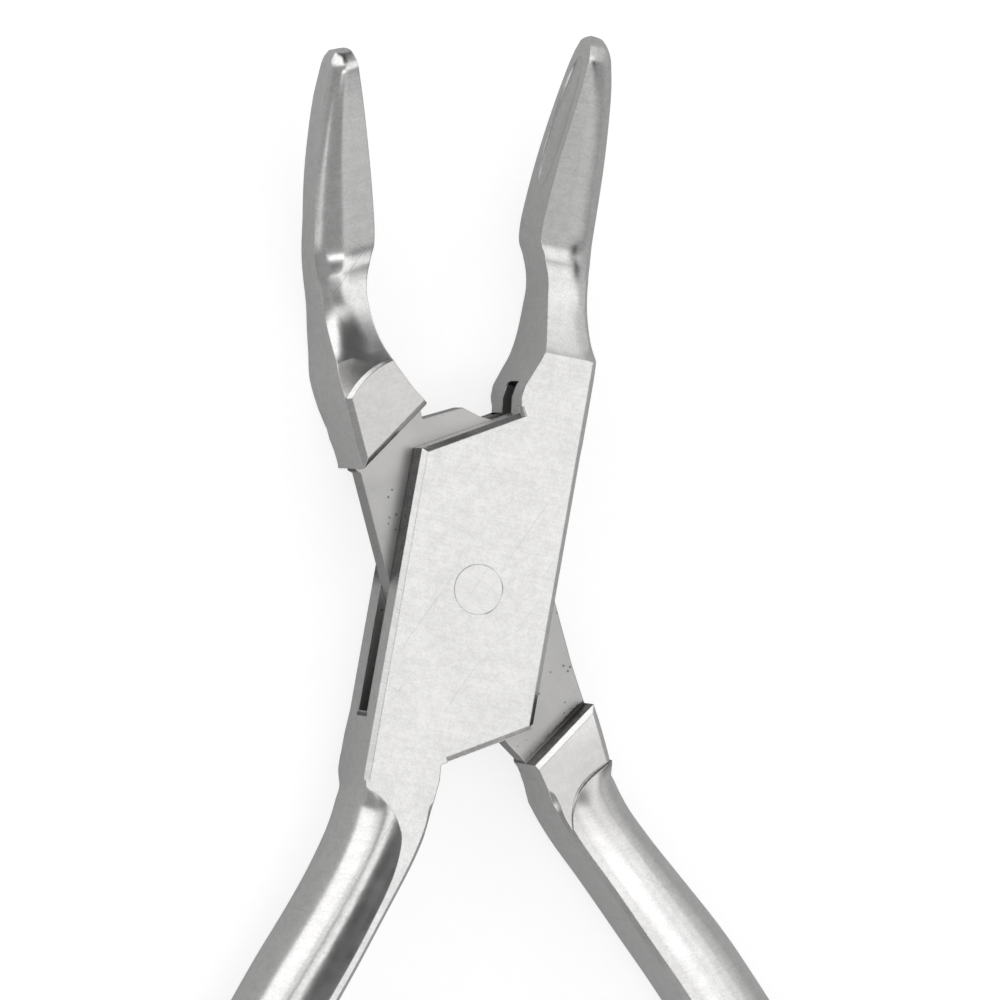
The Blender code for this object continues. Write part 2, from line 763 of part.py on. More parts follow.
def make_screw(name, tenon):
    """Slotted screw: shank in the handle, domed head on the leaf pad."""
    frame = screw_frame(tenon)
    under = SEAT_GAP * 2 + SPRING_THICKNESS
    profile = [(0.0, -SCREW_LENGTH), (SCREW_SHANK / 2 - 0.25, -SCREW_LENGTH)]
    profile += [(SCREW_SHANK / 2, -SCREW_LENGTH + 0.25), (SCREW_SHANK / 2, under), (SCREW_HEAD / 2, under)]
    profile += [(SCREW_HEAD / 2, under + SCREW_HEAD_HEIGHT * 0.45)]
    profile += [(SCREW_HEAD * 0.4, under + SCREW_HEAD_HEIGHT * 0.8)]
    profile += [(SCREW_HEAD * 0.22, under + SCREW_HEAD_HEIGHT), (0.0, under + SCREW_HEAD_HEIGHT)]
    body = turned_solid(name, profile, 32)
    body.data.transform(frame)
    cut = Matrix.Translation((0, 0, under + SCREW_HEAD_HEIGHT))
    slot = box(name + "_slot", (SCREW_HEAD + 1.0, 0.7, 0.9), frame @ cut)
    combine(body, slot, "DIFFERENCE")
    return body


def turned_solid(name, profile, segments):
    """Solid of revolution about Z from (radius, height) points."""
    work = bmesh.new()
    verts = [work.verts.new((radius, 0, height)) for radius, height in profile]
    for low, high in zip(verts, verts[1:]):
        work.edges.new((low, high))
    bmesh.ops.spin(
        work, geom=list(work.verts) + list(work.edges), axis=(0, 0, 1), cent=(0, 0, 0),
        angle=math.tau, steps=segments, use_merge=True
    )
    bmesh.ops.remove_doubles(work, verts=work.verts, dist=0.0005)
    bmesh.ops.recalc_face_normals(work, faces=work.faces)
    mesh = bpy.data.meshes.new(name)
    work.to_mesh(mesh)
    work.free()
    return add_mesh(name, mesh, PARTS)


def screw_hole(name, tenon):
    """Blind hole for a spring screw, in the drawing frame of its half."""
    y = -SPRING_FOOT
    step = 0.5
    up = Vector((handle_line(y + step, tenon) - handle_line(y - step, tenon), 2 * step, 0)).normalized()
    out = Vector((up.y, -up.x, 0))
    seat = Vector((handle_line(y, tenon), y, 0)) + out * handle_width(y, tenon) / 2
    side = up.cross(out)
    turn = Matrix((up, side * -1, out)).transposed().to_4x4()
    radius = SCREW_SHANK / 2 + SCREW_CLEARANCE
    return cylinder(name, radius, -SCREW_LENGTH - 0.2, 2.0, Matrix.Translation(seat) @ turn, 32)


def make_half(name, tenon):
    body = forging(name, tenon)
    if tenon:
        half = SLOT_GAP / 2 - SIDE_CLEARANCE
        combine(body, plate("cheek_front", cheek_outline(), half, 12.0), "DIFFERENCE")
        combine(body, plate("cheek_back", cheek_outline(), -12.0, -half), "DIFFERENCE")
        combine(body, loft("root_relief", relief_rings()), "DIFFERENCE")
    else:
        combine(body, plate("slot", slot_outline(), -SLOT_GAP / 2, SLOT_GAP / 2), "DIFFERENCE")
    chamfer_flats(body, EDGE_CHAMFER)
    bore = cylinder(name + "_bore", PIN_DIAMETER / 2 + PIN_CLEARANCE, -9.0, 9.0, Matrix.Identity(4))
    combine(body, bore, "DIFFERENCE")
    combine(body, screw_hole(name + "_screw_hole", tenon), "DIFFERENCE")
    cut_cup(body)
    if tenon:
        mirrored(body)
    place(body, HALF_OPEN if tenon else -HALF_OPEN)
    return body


def make_pin():
    radius = PIN_DIAMETER / 2
    profile = [(0.0, -HALF_BOX), (radius - PIN_EDGE, -HALF_BOX), (radius, -HALF_BOX + PIN_EDGE)]
    profile += [(radius, HALF_BOX - PIN_EDGE), (radius - PIN_EDGE, HALF_BOX), (0.0, HALF_BOX)]
    body = turned_solid("joint_pin", profile, STEPS)
    tidy(body.data)
    place(body, 0.0)
    return body


def to_metres(item):
    item.data.transform(Matrix.Scale(MM, 4))


def finish_part(item, material, smooth_angle=28.0):
    item.data.materials.clear()
    item.data.materials.append(material)
    smooth(item, smooth_angle)


SATIN = steel("satin_steel", (0.72, 0.72, 0.73), 0.3)
PIN_STEEL = steel("pin_steel", (0.66, 0.66, 0.67), 0.28)
SPRING_STEEL = steel("spring_steel", (0.62, 0.62, 0.64), 0.25)
SCREW_STEEL = steel("screw_steel", (0.68, 0.68, 0.7), 0.25)

finish_part(make_half("box_half", False), SATIN)
finish_part(make_half("tenon_half", True), SATIN.copy())
finish_part(make_pin(), PIN_STEEL)
for label, on_tenon in (("left", False), ("right", True)):
    leaf = make_spring(label + "_leaf_spring", on_tenon)
    to_metres(leaf)
    finish_part(leaf, SPRING_STEEL.copy())
    screw = make_screw(label + "_spring_screw", on_tenon)
    to_metres(screw)
    finish_part(screw, SCREW_STEEL.copy())

TENON_AXIS = bpy.data.objects.new("tenon_axis", None)
PARTS.objects.link(TENON_AXIS)
bpy.data.objects["tenon_half"].parent = TENON_AXIS
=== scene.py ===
"""Looks of the bone rongeur: satin steel halves, pin, leaf springs and screws on a pale floor."""

import math

import bmesh
import bpy
from mathutils import Matrix, Vector


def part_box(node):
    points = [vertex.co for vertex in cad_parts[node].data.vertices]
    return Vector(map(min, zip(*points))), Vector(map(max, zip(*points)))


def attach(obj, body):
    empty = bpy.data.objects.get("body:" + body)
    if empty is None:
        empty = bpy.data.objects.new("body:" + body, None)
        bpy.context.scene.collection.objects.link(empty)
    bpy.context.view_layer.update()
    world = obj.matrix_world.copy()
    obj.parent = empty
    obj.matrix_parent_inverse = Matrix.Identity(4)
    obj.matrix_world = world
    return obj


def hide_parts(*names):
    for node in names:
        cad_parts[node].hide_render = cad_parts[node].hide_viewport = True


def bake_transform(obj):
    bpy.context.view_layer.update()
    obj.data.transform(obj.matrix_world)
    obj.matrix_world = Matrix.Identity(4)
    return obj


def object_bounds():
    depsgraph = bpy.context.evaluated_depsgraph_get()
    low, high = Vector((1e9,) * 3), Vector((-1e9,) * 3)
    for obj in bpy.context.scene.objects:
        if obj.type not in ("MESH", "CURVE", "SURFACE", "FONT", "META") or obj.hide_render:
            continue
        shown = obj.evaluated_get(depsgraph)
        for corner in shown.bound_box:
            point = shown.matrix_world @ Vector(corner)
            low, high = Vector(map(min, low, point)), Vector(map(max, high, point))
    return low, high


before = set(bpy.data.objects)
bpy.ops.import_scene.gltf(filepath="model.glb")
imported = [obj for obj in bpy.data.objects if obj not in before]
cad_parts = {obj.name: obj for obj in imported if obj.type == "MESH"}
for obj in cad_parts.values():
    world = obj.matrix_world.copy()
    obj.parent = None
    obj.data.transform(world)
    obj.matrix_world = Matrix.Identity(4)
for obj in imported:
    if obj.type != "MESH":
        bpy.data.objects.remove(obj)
bpy.context.scene.view_settings.view_transform = "Standard"
cad_box = [list(corner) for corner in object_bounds()]
middle_height = (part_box("joint_pin")[0].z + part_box("joint_pin")[1].z) / 2

# Studio. The instrument lies on a pale sheet inside a light tent, seen from above and from a little left.
# Pale and dark cloths hung in the tent draw the light and dark bands along the polished steel.
azimuth = math.radians(-17.5)
elevation = math.radians(1.5)
roll = math.radians(2.2)
camera_far = 0.5
sensor_width = 36.0
photo_side = 1000
pixels_per_metre = 13000
pin_across, pin_down = 478.6, 589.6
pin_height = 0.0076
camera_data = bpy.data.cameras.new("photo_camera")
camera = bpy.data.objects.new("photo_camera", camera_data)
bpy.context.scene.collection.objects.link(camera)
toward_camera = Vector((math.sin(azimuth) * math.cos(elevation), math.sin(elevation),
                        math.cos(azimuth) * math.cos(elevation)))
level = Vector((0, 1, 0)).cross(toward_camera).normalized()
upright = toward_camera.cross(level)
camera_right = level * math.cos(roll) - upright * math.sin(roll)
camera_up = upright * math.cos(roll) + level * math.sin(roll)
aim = (Vector((0, 0, pin_height)) + camera_right * (photo_side / 2 - pin_across) / pixels_per_metre
       + camera_up * (pin_down - photo_side / 2) / pixels_per_metre)
camera.matrix_world = Matrix.Translation(aim + toward_camera * camera_far) @ Matrix(
    (camera_right, camera_up, toward_camera)).transposed().to_4x4()
camera_data.sensor_width = sensor_width
camera_data.lens = sensor_width * camera_far * pixels_per_metre / photo_side
camera_data.clip_start = 0.01
bpy.context.scene.camera = camera

floor_half = 3.0
floor_gap = 0.00005
floor_mesh = bpy.data.meshes.new("floor")
floor_work = bmesh.new()
bmesh.ops.create_grid(floor_work, x_segments=1, y_segments=1, size=floor_half)
bmesh.ops.translate(floor_work, verts=floor_work.verts, vec=(0, 0, cad_box[0][2] - floor_gap))
floor_work.to_mesh(floor_mesh)
floor_work.free()
floor = bpy.data.objects.new("floor", floor_mesh)
bpy.context.scene.collection.objects.link(floor)


def node(tree, kind, plugs=None, **settings):
    """Adds one shader node; a plug takes a value or another node's output."""
    item = tree.nodes.new(kind)
    for key, value in settings.items():
        setattr(item, key, value)
    for key, value in (plugs or {}).items():
        if isinstance(value, bpy.types.NodeSocket):
            tree.links.new(value, item.inputs[key])
        else:
            item.inputs[key].default_value = value
    return item


def sums(tree, operation, first, second=0.0):
    """One step of arithmetic between values or outputs."""
    return node(tree, "ShaderNodeMath", {0: first, 1: second}, operation=operation).outputs[0]


def between(tree, value, low, high, start=0.0, end=1.0):
    """Start below low, end above high, eased between them."""
    return node(tree, "ShaderNodeMapRange",
                {"Value": value, "From Min": low, "From Max": high, "To Min": start, "To Max": end},
                interpolation_type="SMOOTHSTEP").outputs[0]


paper_glow = 0.76
paper_glow_in_metal = 0.2
paper = bpy.data.materials.new("pale_paper")
paper.use_nodes = True
tree = paper.node_tree
sheet = tree.nodes["Principled BSDF"]
sheet.inputs["Roughness"].default_value = 0.9
sheet.inputs["Specular IOR Level"].default_value = 0.0
place = node(tree, "ShaderNodeTexCoord").outputs["Object"]
fibres = node(tree, "ShaderNodeTexNoise", {"Vector": place, "Scale": 900.0, "Detail": 4.0}).outputs["Fac"]
tone = node(tree, "ShaderNodeMapRange", {"Value": fibres, "To Min": 0.4, "To Max": 0.44}).outputs[0]
tree.links.new(tone, sheet.inputs["Base Color"])
bump = node(tree, "ShaderNodeBump", {"Height": fibres, "Strength": 0.15, "Distance": 0.0001}).outputs[0]
tree.links.new(bump, sheet.inputs["Normal"])
seen = node(tree, "ShaderNodeLightPath").outputs
metal_sees = sums(tree, "MULTIPLY", seen["Is Glossy Ray"], paper_glow_in_metal)
looked_at = sums(tree, "MAXIMUM", sums(tree, "MAXIMUM", seen["Is Camera Ray"], seen["Is Transmission Ray"]),
                 metal_sees)
lift = node(tree, "ShaderNodeEmission", {"Strength": sums(tree, "MULTIPLY", looked_at, paper_glow)})
both = node(tree, "ShaderNodeAddShader", {0: sheet.outputs[0], 1: lift.outputs[0]})
tree.links.new(both.outputs[0], tree.nodes["Material Output"].inputs["Surface"])
floor_mesh.materials.append(paper)

tent = bpy.data.worlds.new("light_tent")
bpy.context.scene.world = tent
tent.use_nodes = True
tree = tent.node_tree
direction = node(tree, "ShaderNodeTexCoord").outputs["Generated"]
split = node(tree, "ShaderNodeSeparateXYZ", {0: direction}).outputs


def panel(light, brightness, sides, soft):
    """Pale or dark cloth hung in the tent, between low and high directions across, along and up."""
    share = 1.0
    for socket, (low, high) in zip((split["X"], split["Y"], split["Z"]), sides):
        share = sums(tree, "MULTIPLY", share, between(tree, socket, low - soft, low + soft))
        share = sums(tree, "MULTIPLY", share, between(tree, socket, high + soft, high - soft))
    return node(tree, "ShaderNodeMix", {0: share, 2: light, 3: brightness}).outputs[0]


# Cloths in the order they are hung: brightness, reach across, reach along, softness of the edge.
far = 2.0
tent_light = 0.32
seen_backdrop = 0.9
for brightness, across, along, soft in (
    (0.66, (0.5, far), (-0.15, far), 0.08),
    (0.5, (0.9, far), (-far, far), 0.1),
    (1.15, (0.13, 0.52), (-0.12, far), 0.07),
    (1.2, (0.13, 0.64), (0.05, 0.32), 0.07),
    (1.4, (-1.2, -0.36), (0.2, far), 0.07),
    (0.03, (-0.28, 0.13), (0.42, far), 0.06),
    (0.1, (-0.5, 0.0), (-0.14, 0.1), 0.05),
    (1.2, (-0.5, -0.12), (0.13, 0.34), 0.05),
    (0.75, (-0.12, 0.16), (0.13, 0.34), 0.05),
    (1.0, (-0.03, 0.2), (-0.1, 0.2), 0.04),
    (0.66, (0.08, far), (-far, -0.55), 0.07),
    (0.56, (0.1, 0.36), (-0.55, -0.38), 0.05),
    (1.85, (-0.52, 0.06), (-0.5, -0.27), 0.05),
    (1.3, (-0.02, 0.36), (-0.32, -0.08), 0.05),
    (0.04, (0.4, 0.68), (-0.5, -0.12), 0.06),
):
    tent_light = panel(tent_light, brightness, (across, along), soft)
tent_light = panel(tent_light, 1.4, ((-0.9, -0.5), (-0.92, -0.58), (-far, 0.3)), 0.05)
camera_ray = node(tree, "ShaderNodeLightPath").outputs["Is Camera Ray"]
strength = node(tree, "ShaderNodeMix", {0: camera_ray, 2: tent_light, 3: seen_backdrop}).outputs[0]
tree.links.new(strength, tree.nodes["Background"].inputs["Strength"])
tree.nodes["Background"].inputs["Color"].default_value = (1, 1, 1, 1)


# Box half, one forging in stainless steel: the bent jaw, the slotted box and the bowed handle. It is drawn
# closed and in millimetres, jaw towards +Y, handle towards -Y and its left towards -X, as a forged blank
# that is then cut as the maker mills it, and turned to the rest pose.
half_open = 12.8
half_box = 3.8
half_width = 6.35
joint_tilt = math.radians(29.5)
slope = math.tan(joint_tilt)
box_reach = 11.75
box_end = box_reach / math.cos(joint_tilt)
shoulder_end = 13.0 / math.cos(joint_tilt)
slot_floor = box_reach * 0.984
half_slot = 1.2
half_web = 1.15
bevel_width = 0.4
bore_radius = 1.93
screw_place = 72.0
screw_bore = 1.15
jaw_length = 43.0
jaw_thick = 5.4
jaw_bend = math.radians(28.0)
cup_sizes = (0.6, 5.75, 1.85)
cup_margin = 1.3
scoop_radius = 8.0
scoop_start = 18.9
scoop_end = 26.4
facet_drop = 1.15
forging_top = 4.7
handle_wide = 6.1
handle_thick = 8.9
bow_start = -33.0
bow_length = 72.0


def cubic(points, at):
    """Smooth line through (position, value) points, read at one position."""
    last = len(points) - 1
    if at <= points[0][0]:
        return points[0][1]
    if at >= points[last][0]:
        return points[last][1]
    k = 0
    while points[k + 1][0] < at:
        k += 1

    def slope_at(n):
        low, high = max(n - 1, 0), min(n + 1, last)
        return (points[high][1] - points[low][1]) / (points[high][0] - points[low][0])

    (x0, y0), (x1, y1) = points[k], points[k + 1]
    t = (at - x0) / (x1 - x0)
    m0, m1 = slope_at(k) * (x1 - x0), slope_at(k + 1) * (x1 - x0)
    a = 2 * y0 - 2 * y1 + m0 + m1
    b = -3 * y0 + 3 * y1 - 2 * m0 - m1
    return ((a * t + b) * t + m0) * t + y0


def spread(low, high, count):
    """Evenly spaced values with both ends."""
    return [low + (high - low) * k / (count - 1) for k in range(count)]


def mix(a, b, t):
    """Value the share t of the way from a to b."""
    return a + (b - a) * t


def ease(low, high, at):
    """Share from 0 at low to 1 at high, level at both."""
    t = min(max((at - low) / (high - low), 0.0), 1.0)
    return t * t * (3 - 2 * t)


def inner_edge(y):
    """Plan line of the jaw's inner face."""
    return cubic(((13.6, 0.9), (15.4, 0.7), (17.2, 1.35), (18.9, 2.0), (21.0, 2.25), (23.7, 2.1),
                  (25.2, 1.75), (26.6, 1.15), (27.73, 0.58), (30.7, 0.27), (35.0, 0.1),
                  (jaw_length + 1.0, 0.06)), y)


def outer_edge(y):
    """Plan line of the jaw's outer side."""
    return cubic(((15.0, half_width + 0.05), (18.5, half_width - 0.02), (20.7, 5.95), (23.7, 5.55),
                  (27.0, 5.28), (30.6, 4.75), (33.6, 4.25), (36.5, 3.62), (39.6, 2.82), (41.5, 2.15),
                  (jaw_length + 0.6, 1.4)), y)


def jaw_middle(y):
    """Height of the jaw's middle line, level at the root and then bent up."""
    rise = math.tan(jaw_bend)
    return cubic(((18.0, 0.0), (22.0, -0.6), (25.0, -1.0), (28.0, -0.85), (31.0, 0.35),
                  (35.0, 0.35 + 3.48 * rise), (39.0, 0.35 + 7.52 * rise),
                  (jaw_length + 2.0, 0.35 + (jaw_length - 29.0) * rise)), y)


def jaw_line(y, side):
    """Point of the front (+1) or back (-1) line of the jaw, as (y, z)."""
    angle = math.atan2(jaw_middle(y + 0.1) - jaw_middle(y - 0.1), 0.2)
    half = side / 2 * cubic(((24.0, jaw_thick), (34.1, jaw_thick), (39.6, jaw_thick * 0.9),
                             (jaw_length + 1.0, jaw_thick * 0.64)), y)
    return Vector((y - half * math.sin(angle), jaw_middle(y) + half * math.cos(angle)))


def back_line(y):
    """Height of the back of the jaw root, which is thicker than the box."""
    return cubic(((14.6, -half_box - 0.07), (15.4, -4.4), (16.4, -4.85), (18.6, -5.25), (20.6, -5.17),
                  (22.6, -4.84), (24.0, -4.3), (25.4, jaw_line(25.4, -1).y - 0.2),
                  (back_join.x, back_join.y), (28.0, jaw_line(28.0, -1).y)), y)


def scoop_arc(y, centre):
    """Height of the round hollow between the box and the jaw front, and clear above it elsewhere."""
    reach = scoop_radius ** 2 - (y - centre.x) ** 2
    return centre.y - math.sqrt(reach) if reach > 0 else 99.0


first_middle = 26.0
while jaw_line(first_middle, 1).x < scoop_end:
    first_middle += 0.01
scoop_lip = jaw_line(first_middle, 1)
back_join = jaw_line(first_middle, -1)
scoop_chord = scoop_lip - Vector((scoop_start, half_box))
scoop_out = Vector((-scoop_chord.y, scoop_chord.x)).normalized()
scoop_middle = Vector((scoop_start, half_box)) + scoop_chord / 2
scoop_centre = scoop_middle + scoop_out * math.sqrt(scoop_radius ** 2 - (scoop_chord.length / 2) ** 2)


handle_bow = [(bow_start - bow_length * share, x) for share, x in (
    (1.0, -16.4), (0.89, -17.4), (0.76, -18.3), (0.62, -18.6), (0.49, -18.0), (0.35, -16.4), (0.21, -13.9),
    (0.1, -11.15), (0.0, -8.58))]
handle_root = [(-28.0, -6.67), (-23.5, -5.1), (-20.0, -4.1), (-17.0, -3.7), (-12.0, -3.75)]


def handle_line(y, tenon):
    """Plan line of the handle's middle, which the tenon half carries a little further in."""
    value = cubic(handle_bow + handle_root, y)
    if tenon:
        value -= cubic(((-60.0, 1.4), (-34.0, 1.9), (-24.0, 1.672), (-15.0, 0.95)), y)
        value += cubic(((-34.0, 0.0), (-27.0, 0.1), (-21.0, 0.275)), y)
    return value


def handle_width(y, tenon):
    """Width of the handle in plan."""
    value = handle_wide * cubic(((-105.0, 1.0), (-75.0, 1.1), (-45.0, 1.05), (-32.0, 1.035),
                                 (-24.0, 0.99), (-14.0, 1.12)), y)
    if tenon:
        value -= cubic(((-34.0, 0.0), (-27.0, 0.2), (-21.0, 0.55), (-14.0, 0.55)), y)
    return value


def handle_frame(y, tenon):
    """Middle of the handle and the way across it, towards the other handle."""
    way = Vector((handle_line(y - 0.5, tenon) - handle_line(y + 0.5, tenon), -1.0)).normalized()
    return Vector((handle_line(y, tenon), y)), Vector((-way.y, way.x))


# The dome's section, in shares of the handle's width and thickness, from its inner edge outwards.
dome_start = (0.44, 0.443)
dome_points = [Vector(p) for p in (
    dome_start, (0.38, 0.4445), (0.33, 0.449), (0.26, 0.461), (0.16, 0.479), (0.07, 0.4915), (0.0, 0.4965),
    (-0.06, 0.495), (-0.12, 0.485), (-0.2, 0.46), (-0.3, 0.4), (-0.39, 0.312), (-0.465, 0.185),
    (-0.497, 0.07), (-0.5, 0.0))]


def dome(t):
    """Point of the dome's upper half, from the inner edge (0) to the outermost line (1)."""
    spots = [0.0]
    for a, b in zip(dome_points, dome_points[1:]):
        spots.append(spots[-1] + (b - a).length)
    at = t * spots[-1]
    return (cubic([(s, p.x) for s, p in zip(spots, dome_points)], at),
            cubic([(s, p.y) for s, p in zip(spots, dome_points)], at))


# Points that a ring has on each stretch of its upper half.
side_count = 5
facet_count = 6
front_count = 12
flank_count = 7


def ring_of(corners):
    """Closed ring from the upper half's corner points and the lower half's, right side first."""
    ring = []
    counts = (side_count, facet_count, front_count, flank_count)
    counts += tuple(reversed(counts))
    for (start, end), count in zip(zip(corners, corners[1:] + corners[:1]), counts):
        for k in range(count):
            ring.append(start.lerp(end, k / count))
    return ring


def soften(ring, spot):
    """Rounds the crease at one place of a ring."""
    for step in range(3):
        for k in (spot, spot - 1, spot + 1, spot - 2, spot + 2):
            ring[k] = ring[k] * 0.5 + (ring[k - 1] + ring[k + 1]) * 0.25


def jaw_ring(front, back, tenon, squeeze=1.0):
    """Ring of the jaw or block between one front point and one back point, each (y, z)."""
    if tenon:
        widths = ((18.4, 0.1), (19.2, 1.3), (20.2, 2.4), (21.6, 2.2), (25.0, 1.6), (28.0, 2.1), (43.0, 0.85))
    else:
        widths = ((18.4, 0.1), (19.2, 0.8), (20.0, 1.2), (22.0, 1.2), (25.5, 1.3), (27.5, 1.65), (43.0, 1.8))
    drops = ((widths[0][0], 0.02), (widths[2][0], facet_drop * 0.35), (25.0, facet_drop * 0.85),
             (28.0, facet_drop), (38.0, facet_drop), (jaw_length, facet_drop * 0.75))
    along = (front - back).normalized()
    corners = []
    outer_corners = []
    for spot, sign in ((front, 1), (back, -1)):
        y = spot.x
        width = cubic(widths, y)
        drop = min(cubic(drops, y) * squeeze, (front - back).length * 0.3)
        if sign < 0:
            drop *= cubic(((26.0, 0.45), (31.0, 1.0)), y)
        over = max(spot.y - half_box, 0.0) if sign > 0 and y < 24.0 else 0.0
        begin = widths[0][0]
        right = Vector((outer_edge(y) if y > 12 else half_width, y))
        if y < begin:
            fall = over * ease(begin - 1.0, begin, y)
            crease_x = mix(right.x - 2.0, left_side(y, tenon) + 1.0, ease(begin - 1.0, begin, y))
            crease_fall = 0.0
        else:
            tilt = drop / width
            fall = over + drop
            crease_x = max(right.x - width - over / tilt, left_side(y, tenon) + 1.0)
            crease_fall = over - tilt * (right.x - width - crease_x)
            crease_x = mix(right.x, crease_x, 0.4 + 0.6 * squeeze)
        low = spot - along * fall * sign
        crease = spot - along * crease_fall * sign
        right_x = outer_edge(low.x) if y > 12 else half_width
        mid_x = (right_x + left_side(y, tenon)) / 2
        corners.append([
            Vector((mix(mid_x, right_x, squeeze), low.x, low.y)),
            Vector((mix(mid_x, crease_x, squeeze), crease.x, crease.y)),
            Vector((mix(mid_x, left_side(y, tenon), squeeze), spot.x, spot.y)),
        ])
        outer_corners.append(Vector((corners[-1][0].x, y, spot.y)))
    middle = (front + back) / 2
    right_x = outer_edge(middle.x) if middle.x > 12 else half_width
    mid_x = (right_x + left_side(middle.x, tenon)) / 2
    right_middle = Vector((mix(mid_x, right_x, squeeze), middle.x, middle.y))
    left_middle = Vector((mix(mid_x, left_side(middle.x, tenon), squeeze), middle.x, middle.y))
    upper, lower = corners
    ring = ring_of([right_middle, upper[0], upper[1], upper[2], left_middle, lower[2], lower[1], lower[0]])
    roundness = 0.95 if not tenon else 0.6
    roundness = mix(roundness, 0.35, ease(24.5, 27.5, front.x)) * ease(18.6, 20.6, front.x)
    back_first = len(ring) - side_count - facet_count
    for start, end, corner, first in ((upper[0], upper[1], outer_corners[0], side_count),
                                      (lower[1], lower[0], outer_corners[1], back_first)):
        for k in range(1, facet_count):
            t = k / facet_count
            bowed = start * (1 - t) ** 2 + corner * 2 * t * (1 - t) + end * t * t
            ring[first + k] = ring[first + k].lerp(bowed, roundness)
    if front.x > 19.0:
        soften(ring, side_count + facet_count)
        soften(ring, back_first)
    return ring


def left_side(y, tenon):
    """Left limit of the blank: the block's outer side, then clear of the jaw's inner face."""
    block = -half_width
    if tenon:
        block = cubic(((-14.8, -6.95), (-12.5, -6.9), (-9.0, -6.6), (-2.0, -6.5), (13.2, -6.55)), y)
    return mix(mix(block, -2.6, ease(11.0, 14.0, y)), inner_edge(y) - 0.6, ease(14.0, 17.0, y))


def handle_ring(y, tenon, scale=1.0, block_share=0.0):
    """Ring of the handle: domed outside, open past the flat inner face, which is cut later."""
    centre, across = handle_frame(y, tenon)
    width = handle_width(y, tenon) * scale
    height = scale * handle_thick * cubic(((-105.0, 0.82), (-75.0, 0.94), (-45.0, 0.97), (-24.0, 1.0)), y)
    past = 0.4 / width
    edge = (0.5 + past, (3.45 if tenon else 3.5) / handle_thick - past * 0.07 / 0.06)
    upper = []
    for k in range(side_count):
        upper.append((edge[0], edge[1] * k / side_count))
    for k in range(facet_count):
        t = k / facet_count
        upper.append((mix(edge[0], dome_start[0], t), mix(edge[1], dome_start[1], t)))
    total = front_count + flank_count
    for k in range(total):
        upper.append(dome(k / total))
    lower = [(u, -v) for u, v in reversed(upper[1:])]
    ring = []
    for u, v in upper + [(-0.5, 0.0)] + lower:
        spot = centre + across * u * width
        ring.append(Vector((spot.x, spot.y, v * height)))
    if block_share > 0:
        right_x = mix(half_width, handle_line(y, tenon) + width / 2 + 0.4, ease(11.0, 16.0, -y))
        top = mix(forging_top, 4.25, ease(13.4, 15.6, -y))
        low = mix(forging_top, half_box + 0.08, ease(8.0, 12.0, -y))
        block = ring_of([Vector((right_x, y, 0)), Vector((right_x, y, top)), Vector((right_x - 2, y, top)),
                         Vector((left_side(y, tenon), y, top)), Vector((left_side(y, tenon), y, 0)),
                         Vector((left_side(y, tenon), y, -low)), Vector((right_x - 2, y, -low)),
                         Vector((right_x, y, -low))])
        ring = [a.lerp(b, block_share) for a, b in zip(ring, block)]
    return ring


def blank(name, tenon):
    """The forged blank from jaw tip to handle end, before its flats, ends and joint are cut."""
    rings = []
    tip = jaw_length - 1.0
    middles = spread(first_middle, tip, 30)
    for reach, share in ((1.22, 0.2), (1.2, 0.45), (1.02, 0.68), (0.72, 0.85), (0.36, 0.96)):
        front, back = jaw_line(tip, 1), jaw_line(tip, -1)
        centre = (front + back) / 2
        along = Vector(((front - back).y, -(front - back).x)).normalized()
        rings.append(jaw_ring(centre + (front - centre) * share + along * reach,
                              centre + (back - centre) * share + along * reach, tenon,
                              1 - 0.35 * (1 - share)))
    for y in reversed(middles):
        rings.append(jaw_ring(jaw_line(y, 1), jaw_line(y, -1), tenon))
    for k in range(1, 40):
        y = mix(scoop_end, 14.2, k / 39)
        front = Vector((y, min(scoop_arc(y, scoop_centre), forging_top)))
        y = mix(back_join.x, 14.2, k / 39)
        rings.append(jaw_ring(front, Vector((y, back_line(y))), tenon))
    for y in (12.6, 11.6, 11.0, 10.4, 9.0, 4.0, -2.0, -8.0, -11.0, -12.5, -13.6, -14.4):
        rings.append(jaw_ring(Vector((y, forging_top)), Vector((y, -forging_top)), tenon)
                     if y > -10 else handle_ring(y, tenon, 1.0, 1.0))
    for k in range(1, 15):
        rings.append(handle_ring(-15.0 - 0.24 * k, tenon, 1.0, 1.0 - ease(0, 14, k)))
    for y in spread(-18.6, -102.0, 106):
        rings.append(handle_ring(y, tenon))
    for y, scale in ((-103.2, 0.97), (-104.1, 0.86), (-104.7, 0.68), (-105.0, 0.4)):
        rings.append(handle_ring(y, tenon, scale))
    return skin(name, rings)


def skin(name, rings):
    """Closed skin through rings of equal count."""
    work = bmesh.new()
    rows = [[work.verts.new(point) for point in ring] for ring in rings]
    count = len(rings[0])
    for low, high in zip(rows, rows[1:]):
        for k in range(count):
            work.faces.new((low[k], low[(k + 1) % count], high[(k + 1) % count], high[k]))
    work.faces.new(rows[0])
    work.faces.new(rows[-1])
    bmesh.ops.recalc_face_normals(work, faces=work.faces)
    return to_object(name, work)


def to_object(name, work):
    """Puts a bmesh that is finished into the scene."""
    mesh = bpy.data.meshes.new(name)
    work.to_mesh(mesh)
    work.free()
    item = bpy.data.objects.new(name, mesh)
    bpy.context.scene.collection.objects.link(item)
    return item


def prism(name, outline, low, high):
    """Closed plan outline made solid between two heights."""
    work = bmesh.new()
    face = work.faces.new([work.verts.new((x, y, low)) for x, y in outline])
    if face.normal.z > 0:
        face.normal_flip()
    top = bmesh.ops.extrude_face_region(work, geom=[face])
    bmesh.ops.translate(work, vec=(0, 0, high - low),
                        verts=[v for v in top["geom"] if isinstance(v, bmesh.types.BMVert)])
    bmesh.ops.recalc_face_normals(work, faces=work.faces)
    return to_object(name, work)


